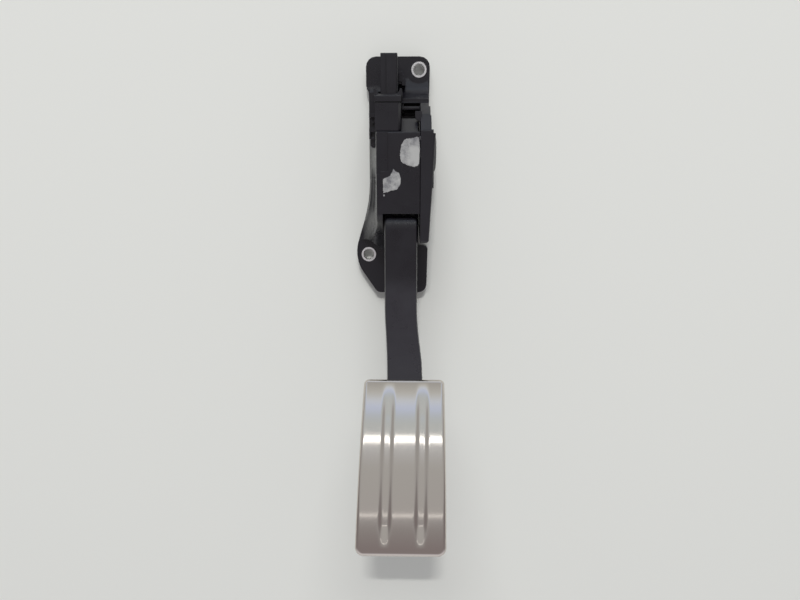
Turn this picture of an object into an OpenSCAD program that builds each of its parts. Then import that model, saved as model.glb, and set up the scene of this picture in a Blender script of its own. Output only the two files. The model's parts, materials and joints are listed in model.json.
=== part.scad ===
// Accelerator pedal with its own position sensor.
// X runs across the plate, Y up the plate towards the plug socket and Z away from the mounting face.
// The origin is half way between the two mounting holes, on the mounting face.

/* [Mounting plate] */
// Spacing of the two mounting holes across the plate
hole_dx = 33; // [31:0.5:35]
// Spacing of the two mounting holes along the plate
hole_dy = 117.6; // [114:0.2:122]
// Thickness of the plate at its edges and bosses
plate_t = 7; // [6:0.5:8]
// Thickness of the skin over the ribbed underside
skin_t = 2.8; // [2:0.2:4]
// Radius of the flat seat round the lower hole
seat_r = 9.3; // [8.5:0.1:10]
// Distance from the upper hole to the plate's upper edge
top_margin = 8; // [7.5:0.5:10]
// Distance from the lower hole to the plate's lower edge
low_margin = 26; // [24:0.5:29]
// Distance from the upper hole to the plate's right edge
right_margin = 7.7; // [7:0.1:9]
// Outer diameter of the steel bushings in the mounting holes
bush_od = 9.6; // [9.4:0.1:11]
// Bore of the steel bushings
bush_bore = 7.3; // [6:0.1:7.6]

/* [Housing] */
// Height of the flat front above the mounting face
front_z = 50; // [48:1:54]
// Distance from the holes' middle to the left edge of the front
front_left = 8.8; // [8:0.1:10]
// Distance from the holes' middle to the joint with the side cover
split_x = 17; // [16.8:0.1:18]
// Thickness of the walls
wall = 3; // [2.4:0.2:3.4]
// Depth of the side cover, across the plate
cover_w = 8.1; // [7.4:0.1:9]
// Thickness of the side cover's wall
cover_wall = 2.2; // [1.8:0.2:2.6]

/* [Pivot] */
// Diameter of the steel pivot pin
pin_d = 8; // [7:0.5:9]
// Wall of the plain bushes on the pin
bush_wall = 1.5; // [1:0.25:2]
// Outer diameter of the arm's hub
hub_d = 19; // [17:0.5:20]
// Turn of the pedal from rest to its full travel, in degrees
travel = 16; // [12:1:17]

/* [Arm] */
// Width of the arm where it leaves the housing
arm_w = 19.8; // [18:0.2:20.2]
// Width of the arm at the top of the pad
arm_pad_w = 22; // [20:0.5:24]
// Thickness of the arm's skin and side walls
arm_wall = 2.6; // [2:0.2:3]

/* [Pad] */
// Length of the pad between its ends
pad_len = 100.4; // [92:0.2:104]
// Width of the pad at its upper end
pad_top_w = 48.6; // [45:0.2:50]
// Width of the pad at its lower end
pad_low_w = 51.4; // [48:0.2:54]
// Radius of the pad's long curve
pad_r = 220; // [170:10:320]
// Tilt of the pad from the mounting plane, in degrees
pad_tilt = 29; // [25:1:32]
// Thickness of the metal cap
cap_t = 1; // [0.8:0.1:1.3]
// Height of the cap's turned-down rim
rim_h = 5; // [4.6:0.1:5.6]
// Width of each pressed groove
groove_w = 6; // [5:0.2:6.6]
// Depth of each pressed groove
groove_depth = 1.3; // [0.8:0.1:1.8]
// Spacing of the two grooves
groove_gap = 20.2; // [18:0.2:22]

/* [Springs] */
// Outer diameter of the outer return spring
spring_od = 14; // [13:0.2:14.2]
// Wire of the outer return spring
spring_wire = 1.8; // [1.4:0.1:2]
// Outer diameter of the inner return spring
inner_od = 8.6; // [8:0.2:9]
// Wire of the inner return spring
inner_wire = 1.2; // [1:0.1:1.4]

/* [Sensor] */
// Width of the sensor box across the plate
box_w = 15.2; // [15:0.1:15.8]
// Width of the plug socket across the plate
plug_w = 9.8; // [9.4:0.1:10.6]
// Height of the plug socket
plug_h = 24; // [22:0.5:26]
// Thickness of the circuit board
board_t = 1.6; // [1.2:0.2:2]

/* [Hidden] */

// Clearances
fit_gap = 0.02;
run_gap = 0.05;
slip_gap = 0.2;
rest_gap = 0.3;
eps = 0.01;

// Places on the plate
hole_hi = [hole_dx / 2, hole_dy / 2];
hole_lo = [-hole_dx / 2, -hole_dy / 2];
plate_top = hole_hi[1] + top_margin;
plate_low = hole_lo[1] - low_margin;
plate_right = hole_hi[0] + right_margin;
plate_left = -front_left - 6.5;
ear_point = hole_lo + [-10, -3.1];
ear_arc = 25;
ear_mid = ear_point + [27.2, 4.6];
step_y = hole_hi[1] - 13;
edge_bend = 0.0055;

// Places on the housing
pivot = [7, 24];
hub_r = hub_d / 2;
cavity_top = pivot[1 - 1] + hub_r + 0.7;
front_top = cavity_top + 0.8;
lip_y = -29.5;
cavity_left = -5;
cheek_len = 28.5;
cavity_front = front_z - wall;
ledge_z = 21.5;
ledge_top = 39.4;
cover_x = split_x + 0.3;
cover_low = lip_y - 17.5;
cover_foot = 3;
notch_x = split_x - 0.2;

// Places on the arm
arm_x = (cavity_left + split_x) / 2 - 0.2;
hub_x0 = cavity_left + 7;
hub_x1 = split_x - 1.4;
arm_start = lip_y - 2.4;
pad_x = 8.1;
pad_y0 = -127.6;
pad_z0 = front_z + 12;
carrier_t = 3.1;
foot_t = 3;
arc_half = asin(pad_len / 2 / pad_r);
arc_len = 2 * arc_half * PI / 180 * pad_r;
spring_y = -42;
spring_low = plate_t + 2.4;
spring_high = front_z - 12;

// Points of an outline whose corners [x, y, r] are rounded by short straights
function unit(v) = v / norm(v);
function flat(p) = [p[0], p[1]];
function turn(a) = a > 180 ? a - 360 : a < -180 ? a + 360 : a;
function corner(a, p, b, n) =
    let(
        u = unit(flat(a) - flat(p)),
        v = unit(flat(b) - flat(p)),
        half = acos(u * v) / 2,
        c = flat(p) + unit(u + v) * p[2] / sin(half),
        s = flat(p) + u * p[2] / tan(half) - c,
        e = flat(p) + v * p[2] / tan(half) - c,
        from = atan2(s[1], s[0]),
        sweep = turn(atan2(e[1], e[0]) - from)
    )
    [for (i = [0:n]) c + p[2] * [cos(from + sweep * i / n), sin(from + sweep * i / n)]];
function rounded(pts, n = 4) =
    let(m = len(pts))
    [for (i = [0:m - 1])
        each pts[i][2] > 0
            ? corner(pts[(i + m - 1) % m], pts[i], pts[(i + 1) % m], n)
            : [flat(pts[i])]];

// The same outline, moved inwards by d; its points run anticlockwise
function inset(pts, d) =
    let(m = len(pts))
    [for (i = [0:m - 1])
        let(
            p = flat(pts[i]),
            e1 = unit(p - flat(pts[(i + m - 1) % m])),
            e2 = unit(flat(pts[(i + 1) % m]) - p),
            n1 = [-e1[1], e1[0]],
            n2 = [-e2[1], e2[0]],
            q = p + (n1 + n2) * d / (1 + n1 * n2),
            r = pts[i][2]
        )
        [q[0], q[1], r <= 0 ? 0 : cross(e1, e2) > 0 ? max(r - d, 0.1) : r + d]];

// A closed solid through rings of equal point counts
module loft(rings) {
    n = len(rings[0]);
    m = len(rings);
    sides = [for (k = [0:m - 2], i = [0:n - 1])
        let(a = k * n + i, b = k * n + (i + 1) % n)
        each [[a, a + n, b + n], [a, b + n, b]]];
    polyhedron(
        points = [for (r = rings) each r],
        faces = concat(
            [[for (i = [0:n - 1]) i]],
            sides,
            [[for (i = [0:n - 1]) m * n - 1 - i]]),
        convexity = 8);
}

// Turns children drawn in a side view, with Y across and Z up, to stand along X from x0 to x1
module across(x0, x1) {
    translate([x0, 0, 0])
        rotate([90, 0, 90])
            linear_extrude(x1 - x0)
                children();
}

// A round bar along X
module rod(y, z, r, x0, x1) {
    translate([x0, y, z])
        rotate([0, 90, 0])
            cylinder(r = r, h = x1 - x0, $fn = 48);
}

// The left edge of the plate: straight beside the housing, then bending out to the lower ear
function edge_x(y) =
    y > -50
        ? plate_left - edge_bend * pow(max(0, -10 - max(y, -44)), 2) + min(0, y + 44) * 0.28
        : ear_mid[0] - sqrt(max(0, ear_arc * ear_arc - pow(y - ear_mid[1], 2)));

// The plate's outline, drawn m inside its edge
function plate_outline(m) =
    let(
        low = plate_low + m,
        ear = ear_point + [1.08, 0.2] * m,
        foot = [ear[0] + (ear[1] - low) * 0.69, low]
    )
    concat(
        rounded([
            [0, low, 0],
            [plate_right - 1.9 - m, low, 5.6 - m],
            [plate_right - 1.2 - m, hole_lo[1] + 5.8 - m, 2.2],
            [notch_x - m, hole_lo[1] + 5.8 - m, 0],
            [notch_x - m, ledge_top - 8.4 + m, 0],
            [plate_right - 1.3 - m, ledge_top - 8.4 + m, 1],
            [plate_right - 0.7 - m, plate_top - m, 6.4 - m],
            [plate_left - 1.8 + m, plate_top - m, 6.2 - m],
            [plate_left - 1.8 + m, step_y + 3, 2],
            [plate_left + m, step_y - 1, 2],
            [plate_left + m, 12, 0]
        ]),
        [for (y = [6:-6:-44]) [edge_x(y) + m, y]],
        corner([edge_x(-44) + m, -44], [ear[0], ear[1], ear_arc - m], foot, 8),
        corner(ear, [foot[0], foot[1], 3.5], [foot[0] + 20, low], 3)
    );

// Height of the left cheek beside the arm, falling from the front to the plate
function cheek_z(y) =
    plate_t + (front_z - plate_t) * (1 + cos(180 * min(1, max(0, (lip_y - y) / cheek_len)))) / 2;
function shoulder_x(y) = -front_left - max(0, lip_y - 7 - y) * 0.4;

// One section of the housing at y: front, rounded left edge, channelled flank and the plate's edge
function flank_section(y, right, top) =
    let(
        x0 = shoulder_x(y),
        w = edge_x(y) + 0.3 - x0,
        h = top - plate_t,
        r = min(1.6, h / 4),
        c = 0.55 * smooth((-0.5 - y) / 7) * (1 - smooth((-26 - y) / 10))
    )
    [
        [right, y, plate_t - 1],
        [right, y, top],
        [x0 + r, y, top],
        [x0 + r * 0.3, y, top - r * 0.3],
        [x0, y, top - r],
        [x0 + w * (0.2 + 0.04 * c), y, top - h * (0.42 + 0.2 * c)],
        [x0 + w * 0.42, y, plate_t + h * (0.36 - 0.26 * c)],
        [x0 + w * 0.66, y, plate_t + h * (0.17 - 0.02 * c)],
        [x0 + w * 0.84, y, plate_t + h * (0.09 + 0.09 * c)],
        [x0 + w, y, plate_t + min(1.2, h * 0.04)],
        [x0 + w, y, plate_t - 1]
    ];

// Stations [y, right side, top] of the housing's body, from the sensor box down to the lower ear
stations = concat(
    [
        [front_top, split_x, front_z - 1.4], [front_top - 0.5, split_x, front_z - 0.5],
        [front_top - 1.4, split_x, front_z]
    ],
    [for (y = [12, 6]) [y, split_x, front_z]],
    [for (y = [1:-3:-26]) [y, split_x, front_z]],
    [[lip_y, split_x, front_z]],
    [for (i = [0:9])
        let(y = lip_y - 0.02 - i * (cheek_len - 3.2) / 9)
        [y, cavity_left, cheek_z(y)]]);
module flank() {
    loft([for (s = stations) flank_section(s[0], s[1], s[2])]);
}

// Side view of the raised part right of the sensor box: ramp, ledge, slots, bar and sloping end
module shoulder_profile() {
    foot_y = ledge_top + 14.4;
    rise = ledge_z + 1.5 - plate_t;
    polygon(concat(
        [[foot_y, plate_t - 1], [foot_y, plate_t]],
        [for (a = [80:-10:20]) [foot_y + 0.8 - 14 * cos(a), plate_t + 0.2 + rise * (1 - sin(a))]],
        [
            [ledge_top, ledge_z], [ledge_top - 2, ledge_z], [ledge_top - 2.2, ledge_z + 0.6],
            [ledge_top - 2.7, ledge_z + 0.6], [ledge_top - 2.9, ledge_z], [ledge_top - 8.4, ledge_z],
            [ledge_top - 8.4, plate_t - 1]
        ]));
}

module slope_profile() {
    polygon([
        [front_top - 2, plate_t - 1],
        [front_top - 2, front_z - 1],
        [front_top - 0.5, front_z - 0.7],
        [front_top + 8, front_z - 11.5],
        [front_top + 8, front_z - 14.5],
        [front_top + 2.5, front_z - 14],
        [front_top + 2.5, plate_t - 1]
    ]);
}

// Posts for the side cover's screws
screw_r = 1.5;
post_r = 3.4;
posts = [
    [cavity_top - post_r + 0.6, cavity_front - post_r + 0.6],
    [cavity_top - post_r + 0.6, plate_t + post_r - 0.6],
    [-20, plate_t + post_r - 0.6]
];

box_x0 = -front_left - 0.6;
box_x1 = box_x0 + box_w;
box_y0 = front_top + 0.2;
box_y1 = ledge_top - 2;
box_z = front_z - 2;
plug_x = box_x0 + 3.1;

module housing() {
    color("#1d1d20") difference() {
        union() {
            linear_extrude(plate_t) polygon(plate_outline(0));
            flank();
            across(box_x1 + slip_gap, plate_right - 1.6) shoulder_profile();
            across(box_x1 + slip_gap, split_x - 1.4) slope_profile();
            // side strip that carries the sensor box's clips
            translate([plate_left + 1.3, front_top - 1, plate_t - 1])
                cube([box_x0 - plate_left - 1.5, box_y1 - front_top + 6, 21]);
            // sloping step below the socket
            across(plate_left + 0.3, box_x1 + slip_gap)
                polygon([
                    [box_y1, plate_t - 1], [step_y + 5.5, plate_t - 1],
                    [step_y - 1.5, plate_t + 2.4], [box_y1, plate_t + 5]
                ]);
            across(plate_left - 1.4, plate_left + 1)
                polygon([
                    [step_y + 1, plate_t - 1], [step_y + 5.2, plate_t - 1],
                    [step_y + 1, plate_t + 1]
                ]);
            // bar across the two slots
            across(box_x1 + slip_gap, split_x)
                polygon(rounded([
                    [ledge_top - 7.3, plate_t - 1, 0], [ledge_top - 5, plate_t - 1, 0],
                    [ledge_top - 5, ledge_z + 5, 0.7], [ledge_top - 7.3, ledge_z + 5, 0.7]
                ], 2));
            // gusset beside the socket
            translate([plug_x + plug_w + 0.3, step_y + 4.4, plate_t - 1])
                cube([2.6, 6, 9.6]);
            translate([plug_x + plug_w + 2.2, step_y + 2.2, plate_t - 1])
                cube([2.2, 4, 9.6]);
            translate([plug_x + plug_w + 1.2, step_y + 6.4, plate_t - 1])
                cylinder(r = 3.3, h = 8.9, $fn = 48);
            // clips and the guide post on the left strip
            translate([plate_left + 1.5, front_top + 9.5, plate_t])
                cube([box_x0 - plate_left - 1.7, 2.4, 23.6]);
            for (side = [-1, 1])
                translate([plate_left + 4, front_top + 6.2, plate_t])
                    rotate([0, 0, side * 35])
                        translate([-0.5, 0, 0])
                            cube([1, 2.2, 22.8]);
            translate([plate_left + 1.5, front_top - 3.4, plate_t])
                cube([box_x0 - plate_left - 1.7, 6.7, 24.4]);
            translate([plate_left + 4, front_top - 6.6, plate_t])
                cylinder(r = 1.8, h = 22.6, $fn = 32);
            translate([plate_left + 2.2, front_top - 6.6, plate_t])
                cube([3.6, 5, 22.6]);
        }
        // room for the arm, the hub and the springs
        translate([cavity_left, lip_y - cheek_len - 20, plate_t])
            cube([split_x - cavity_left + 1, cavity_top - lip_y + cheek_len + 20, cavity_front - plate_t]);
        // bay of the sensor box, open to the room of the hub
        translate([box_x0 - slip_gap, box_y0 - slip_gap, plate_t])
            cube([box_w + 2 * slip_gap, box_y1 - box_y0 + 8, front_z]);
        translate([cavity_left, box_y0 - 3, plate_t])
            cube([box_x1 - cavity_left, 4, cavity_front - plate_t - 1]);
        // slots above and below the bar
        translate([box_x1 + 1.2, ledge_top - 5, plate_t + 5])
            cube([split_x - box_x1 - 1.2 + eps, 2.1, front_z]);
        translate([box_x1 + 1.2, front_top + 8.6, plate_t + 3])
            cube([split_x - box_x1 - 1.2 + eps, ledge_top - 7.3 - front_top - 8.6, front_z]);
        // flat seats round the two mounting holes
        translate([hole_hi[0], hole_hi[1], plate_t])
            cylinder(r = 8.6, h = front_z, $fn = 64);
        translate([hole_lo[0] - 2, hole_lo[1] + 1, plate_t])
            cylinder(r = seat_r, h = front_z, $fn = 64);
        for (p = [hole_hi, hole_lo])
            translate([p[0], p[1], -1])
                cylinder(r = bush_od / 2 + fit_gap, h = plate_t + 2, $fn = 48);
        // pin hole and screw holes
        rod(pivot[0], pivot[1], pin_d / 2 + fit_gap, cavity_left - 5, cavity_left + 1);
        // shallow step of the front face
        translate([-front_left - 1, -4.9, front_z - 0.8])
            cube([8.1, front_top + 5.9, 2]);
        translate([-front_left - 1, -6.4, front_z - 0.8])
            cube([3.2, 3, 2]);
        // recess in the clip block
        translate([plate_left + 2.5, front_top - 2.4, plate_t + 22])
            cube([box_x0 - plate_left - 3.3, 3.2, 4]);
        // ribbed underside
        difference() {
            translate([0, 0, -eps])
                linear_extrude(plate_t - skin_t + eps) polygon(plate_outline(2.4));
            for (p = [hole_hi, hole_lo])
                translate([p[0], p[1], -1])
                    cylinder(r = bush_od / 2 + 2.4, h = plate_t + 2, $fn = 48);
            translate([arm_x, spring_y, -1])
                cylinder(r = 4.4, h = plate_t + 2, $fn = 48);
            for (y = [plate_low:17:plate_top])
                translate([-60, y - 1, -1])
                    cube([120, 2, plate_t + 2]);
            for (x = [-4, 9])
                translate([x - 1, plate_low, -1])
                    cube([2, plate_top - plate_low, plate_t + 2]);
        }
        // seats of the stops and of the spring
        translate([arm_x, stop_y, plate_t - 1.5])
            cylinder(r = 2.5 + fit_gap, h = 3, $fn = 32);
        translate([arm_x, spring_y, plate_t - 1.5])
            cylinder(r = 2.5 + fit_gap, h = 3, $fn = 32);
    }
    color("#1d1d20") difference() {
        for (p = posts)
            rod(p[0], p[1], post_r, cavity_left - eps, split_x);
        for (p = posts)
            rod(p[0], p[1], screw_r, cavity_left + 6, split_x + 1);
    }
}

// Outline of the side cover, seen from the side; its points run anticlockwise
cover_pts = [
    [cover_low, cover_foot, 3],
    [front_top + 1, cover_foot, 3],
    [ledge_top - 9.4, cover_foot + 8, 3],
    [ledge_top - 9, ledge_z + 1.2, 0.6],
    [ledge_top - 2.8, ledge_z + 6.6, 2],
    [front_top + 10.4, front_z - 8.8, 2],
    [front_top + 0.5, front_z - 0.4, 2.5],
    [cover_low, front_z - 0.4, 1.5]
];

// Depth of the cover at y: it thins towards its lower end
function cover_depth(y) = cover_w + 0.8 + min(0, (y + 8) * 0.095);
module cover_shell(d, depth, r) {
    steps = [for (a = [0:30:90]) a];
    pts0 = inset(cover_pts, d);
    loft(concat(
        [[for (p = rounded(pts0)) [cover_x, p[0], p[1]]]],
        [for (a = steps)
            [for (p = rounded(inset(pts0, r * (1 - cos(a)) + eps)))
                [cover_x + cover_depth(p[0]) - depth - r + r * sin(a), p[0], p[1]]]]));
}

module side_cover() {
    color("#222226") difference() {
        union() {
            difference() {
                cover_shell(0, 0, 1.6);
                difference() {
                    translate([-eps, 0, 0]) cover_shell(cover_wall, cover_wall, 0.6);
                    translate([cover_x - 1, front_top - 1.6, 0])
                        cube([cover_w + 2, 40, front_z]);
                }
            }
            // hook that reaches over the sloping panel
            translate([split_x - 3, front_top + 6.8, front_z - 9.2])
                linear_extrude(2.2)
                    polygon(rounded([
                        [0, 1.6, 1], [1, 0, 0.6], [4, -1.6, 0], [4, 5, 0], [0, 5, 0.6]
                    ], 3));
            // domed boss over the pin's end
            translate([cover_x + 1, pivot[0], pivot[1]])
                rotate([0, 90, 0])
                    rotate_extrude($fn = 64)
                        polygon(concat(
                            [[0, 0], [hub_r + 3, 0]],
                            [for (a = [0:15:90])
                                [hub_r - 2 + 5 * cos(a), cover_w - 1.4 + 2.2 * sin(a)]],
                            [[0, cover_w + 0.8]]));
            // raised panel on the right side, ending in a small step
            across(cover_x + cover_w - 1.6, cover_x + cover_w - 0.25)
                polygon(rounded([
                    [-14.6, cover_foot + 5, 2], [front_top - 4, cover_foot + 5, 2],
                    [front_top - 4, front_z - 2.6, 1], [-14.6, front_z - 2.6, 1]
                ], 4));
            for (p = posts)
                rod(p[0], p[1], post_r, cover_x, cover_x + cover_w - 1.5);
        }
        // stepped right side of the upper end
        translate([cover_x + cover_w - 0.6, front_top - 1.2, 0])
            cube([5, 30, front_z]);
        translate([cover_x + cover_w - 1.75, front_top + 0.9, 0])
            cube([5, 30, front_z]);
        translate([cover_x + cover_w - 2.2, front_top + 9.4, 0])
            cube([5, 30, front_z]);
        translate([cover_x + cover_w - 3, front_top + 15.6, 0])
            cube([4, 30, front_z]);
        rod(pivot[0], pivot[1], pin_d / 2 + fit_gap, cover_x - 1, cover_x + 5);
        for (p = posts) {
            rod(p[0], p[1], screw_r + 0.2, cover_x - 1, cover_x + cover_w + 1);
            rod(p[0], p[1], 3.1, cover_x + cover_w - 2.6, cover_x + cover_w + 3);
        }
    }
}

module cover_screws() {
    color("#8f9194")
        for (p = posts) {
            rod(p[0], p[1], screw_r - fit_gap, cavity_left + 9, cover_x + cover_w - 2.5);
            difference() {
                rod(p[0], p[1], 2.9, cover_x + cover_w - 2.6, cover_x + cover_w - 0.8);
                translate([cover_x + cover_w - 1.8, p[0], p[1]])
                    rotate([0, 90, 0])
                        cylinder(r = 1.3, h = 2, $fn = 6);
            }
        }
}

module bushing() {
    difference() {
        cylinder(r = bush_od / 2, h = plate_t + 0.3, $fn = 64);
        translate([0, 0, -1])
            cylinder(r = bush_bore / 2, h = plate_t + 3, $fn = 64);
    }
}
module upper_bushing() {
    color("#c9cacc") translate(hole_hi) bushing();
}
module lower_bushing() {
    color("#c9cacc") translate(hole_lo) bushing();
}

module pivot_pin() {
    color("#b4b6b9") rod(pivot[0], pivot[1], pin_d / 2, cavity_left - 4.8, cover_x + 4.8);
}

// The sensor box with its plug socket
plug_x1 = plug_x + plug_w;
plug_z0 = plate_t + 8.4;
plug_z1 = plug_z0 + plug_h;
plug_end = plate_top - 4;
board_x = cavity_left + 0.8;
board_y0 = pivot[0] + pin_d / 2 + 1.8;
board_y1 = box_y1 - 2.4;
board_z0 = pivot[1] - 8;
board_z1 = pivot[1] + 14;
pin_pitch = 3;

module sensor_body() {
    color("#202023") difference() {
        union() {
            translate([box_x0, box_y0, plate_t + 0.2])
                cube([box_w, box_y1 - box_y0, box_z - plate_t - 0.2]);
            // collar round the upper end, and its flange that curves up on both sides of the socket
            across(box_x0 - 0.15, box_x1 + 0.15)
                polygon(rounded([
                    [box_y1 - 2.8, plate_t + 6, 0], [box_y1 + 1.4, plate_t + 6, 0],
                    [box_y1 + 1.4, box_z - 1, 1], [box_y1 + 0.2, box_z + 0.6, 0.6],
                    [box_y1 - 2.8, box_z + 0.6, 0]
                ], 3));
            translate([0, 0, plate_t + 20.4])
                linear_extrude(box_z - plate_t - 21.6)
                    difference() {
                        polygon(rounded([
                            [box_x0 - 0.15, box_y1, 0], [box_x1 + 0.6, box_y1, 0],
                            [box_x1 + 0.6, box_y1 + 4.6, 0.5], [box_x0 - 0.6, box_y1 + 4.6, 0.5],
                            [box_x0 - 0.6, box_y1 + 1.2, 0.5], [box_x0 - 0.15, box_y1 + 0.6, 0]
                        ], 3));
                        polygon(rounded([
                            [box_x0 + 0.8, box_y1 + 1.4, 3.4], [box_x1 - 0.8, box_y1 + 1.4, 3.4],
                            [box_x1 - 0.4, box_y1 + 9, 0], [box_x0 + 0.4, box_y1 + 9, 0]
                        ], 6));
                    }
            // socket
            across(plug_x, plug_x1)
                polygon(rounded([
                    [box_y1, plug_z0, 0], [plug_end, plug_z0, 0.8],
                    [plug_end, plug_z1, 0.8], [box_y1, plug_z1, 0]
                ], 3));
            // guide rail on the socket
            translate([plug_x1 - 6.4, box_y1, plug_z1 - 1])
                cube([5.8, plug_end - box_y1 - 1, 2.6]);
        }
        // chamfer along the box's right edge
        translate([box_x1, box_y0 - 1, box_z - 1.8])
            rotate([0, -40, 0])
                cube([4, box_y1 - box_y0 - 2.6, 4]);
        // groove under the collar
        difference() {
            translate([box_x0 - 1, box_y1 - 3.4, plate_t + 6])
                cube([box_w + 2, 0.6, box_z]);
            translate([box_x0 + 0.5, box_y1 - 4, plate_t])
                cube([box_w - 1, 2, box_z - plate_t - 0.5]);
        }
        // room for the board, open on the right and closed by the lid
        translate([box_x0 + 2.2, box_y0 + 2.2, plate_t + 3])
            cube([box_w, box_y1 - box_y0 - 3.4, box_z - plate_t - 6]);
        translate([board_x - slip_gap, box_y0 - 1, board_z0 - slip_gap])
            cube([board_t + 2 * slip_gap + 1.4, 6, board_z1 - board_z0 + 2 * slip_gap]);
        translate([box_x1 - 1.8, box_y0 + 1, plate_t + 1.8])
            cube([3, box_y1 - box_y0 - 1.6, box_z - plate_t - 3.6]);
        // mouth of the socket
        translate([plug_x + 1.5, plug_end - 17, plug_z0 + 1.5])
            cube([plug_w - 3, 18, plug_h - 3]);
        // terminal slots
        for (i = [0:5])
            translate([board_x + board_t, box_y1 - 6, terminal_z(i)])
                cube([0.8, plug_end - box_y1 - 10, 1.5]);
    }
    // rail that holds the board's left face
    color("#202023")
        translate([box_x0 + 2.2 - eps, board_y1 - 3, board_z0])
            cube([board_x - box_x0 - 2.2 + eps, 3.4, board_z1 - board_z0]);
}
function terminal_z(i) = (plug_z0 + plug_z1) / 2 + (i - 2.5) * pin_pitch - 0.75;

module sensor_lid() {
    color("#2a2a2e")
        translate([box_x1 - 1.8 + eps, box_y0 + 1.1, plate_t + 1.9])
            cube([1.8 - eps, box_y1 - box_y0 - 1.8, box_z - plate_t - 3.8]);
}

module circuit_board() {
    color("#2f6b3f") difference() {
        translate([board_x, board_y0, board_z0])
            cube([board_t, board_y1 - board_y0, board_z1 - board_z0]);
        rod(pivot[0], pivot[1], pin_d / 2 + 2.4, board_x - 1, board_x + board_t + 1);
    }
}

module sensor_chips() {
    color("#151517")
        for (z = [pivot[1] - 4.6, pivot[1] + 0.6])
            translate([board_x + board_t, board_y0 + 1.4, z])
                cube([1.1, 4, 4]);
}

module terminals() {
    color("#c8b06a")
        for (i = [0:5])
            translate([board_x + board_t, box_y1 - 6, terminal_z(i)])
                cube([0.8, plug_end - box_y1 + 0.5, 1.5]);
}

module spring_seat() {
    color("#d8d6cf") {
        translate([arm_x, spring_y, plate_t])
            cylinder(r = spring_od / 2 + 1, h = spring_low - plate_t, $fn = 48);
        translate([arm_x, spring_y, plate_t - 1.4])
            cylinder(r = 2.5, h = 2, $fn = 32);
        translate([arm_x, spring_y, spring_low - eps])
            cylinder(r = inner_od / 2 - inner_wire - 0.3, h = 3, $fn = 32);
    }
}

cup_r = arm_w / 2 - arm_wall - 0.5;
module spring_cup() {
    color("#d8d6cf") {
        translate([arm_x, spring_y, spring_high])
            cylinder(r = cup_r, h = skin_low(spring_y + cup_r) - spring_high - 0.1, $fn = 48);
        translate([arm_x, spring_y, spring_high])
            cylinder(r = 3.2, h = skin_low(spring_y + 3.2) - spring_high - 0.05, $fn = 32);
        translate([arm_x, spring_y, spring_high - 3])
            cylinder(r = inner_od / 2 - inner_wire - 0.3, h = 3 + eps, $fn = 32);
    }
}

// One coil spring standing on the seat: n turns of wire w, closed at both ends
module coil(od, w, n) {
    low = spring_low + w / 2;
    high = spring_high - w / 2;
    steps = 14;
    total = n * steps;
    r = (od - w) / 2;
    function rise(i) =
        let(t = i / total, s = min(1, max(0, (t * n - 0.9) / (n - 1.8))))
        low + w * 1.02 * min(t * n, 0.9) / 0.9 * 0.9
            + (high - low - 1.84 * w) * s
            + w * 1.02 * max(0, t * n - n + 0.9);
    loft([for (i = [0:total])
        let(
            a = -360 * i / steps,
            z = min(rise(i), high)
        )
        [for (k = [0:5])
            let(q = r + w / 2 * cos(60 * k))
            [arm_x + q * cos(a), spring_y + q * sin(a), z + w / 2 * sin(60 * k)]]]);
}
module outer_spring() {
    color("#77797c") coil(spring_od, spring_wire, 5);
}
module inner_spring() {
    color("#77797c") coil(inner_od, inner_wire, 6);
}

// Height of the arm's underside over the place y, after the full turn
function turned_low(y) =
    let(
        dz = arm_low(y) - pivot[1],
        dy = (y - pivot[0] + dz * sin(travel)) / cos(travel)
    )
    pivot[1] + dy * sin(travel) + dz * cos(travel);
stop_y = plate_low + 9.5;
stop_top = min(turned_low(stop_y - 4), turned_low(stop_y - 5) + 1) - rest_gap;

module full_stop() {
    color("#161616") {
        translate([arm_x, stop_y, plate_t])
            rotate_extrude($fn = 48)
                polygon([
                    [0, 0], [5, 0], [5, stop_top - plate_t - 1],
                    [4, stop_top - plate_t], [0, stop_top - plate_t]
                ]);
        translate([arm_x, stop_y, plate_t - 1.4])
            cylinder(r = 2.5, h = 1.5, $fn = 32);
    }
}

rest_z = cavity_front - 4.6;
module rest_stop() {
    color("#161616")
        translate([arm_x - 5, lip_y + 3, rest_z + rest_gap])
            cube([10, 6, cavity_front - rest_z - rest_gap]);
}

// Heights of the arm's skin and of its lower edge outside the housing
function blend(a, b, t) = a + (b - a) * t;
function smooth(t) = let(u = min(1, max(0, t))) u * u * (3 - 2 * u);
function arm_high(y) =
    front_z - 0.8 - 2.6 * pow(max(0, (y - arm_start + 9) / 9), 3)
        + 7.6 * pow(min(1, max(0, (-72 - y) / (-72 - pad_y0))), 1.6);
function arm_low(y) = front_z - 16.4 + 7.5 * pow(max(0, (-88 - y) / 42), 1.5);
function skin_low(y) = arm_high(y) - arm_wall - 0.4;
function arm_mid(y) = blend(arm_x, pad_x + 0.5, smooth((-86 - y) / 46));
function arm_half(y) =
    blend(arm_w, arm_pad_w, smooth((-96 - y) / 36)) / 2
        - 2 + 2 * sqrt(1 - pow(1 - min(1, (arm_start - y) / 2), 2));

// Points of the pad's long curve: t runs from the upper end to the lower, w is height off the face
function pad_angle(t) = arc_half * (1 - 2 * t);
function pad_yz(t, w) =
    let(
        a = pad_angle(t),
        y = -pad_len / 2 + (pad_r + w) * sin(a),
        z = (pad_r + w) * cos(a) - pad_r * cos(arc_half)
    )
    [pad_y0 + y * cos(pad_tilt) + z * sin(pad_tilt), pad_z0 - y * sin(pad_tilt) + z * cos(pad_tilt)];
module on_pad(x, t, w) {
    p = pad_yz(t, w);
    translate([pad_x + x, p[0], p[1]])
        rotate([-pad_tilt - pad_angle(t), 0, 0])
            children();
}
foot_w = -cap_t - 0.1 - carrier_t;

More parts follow.
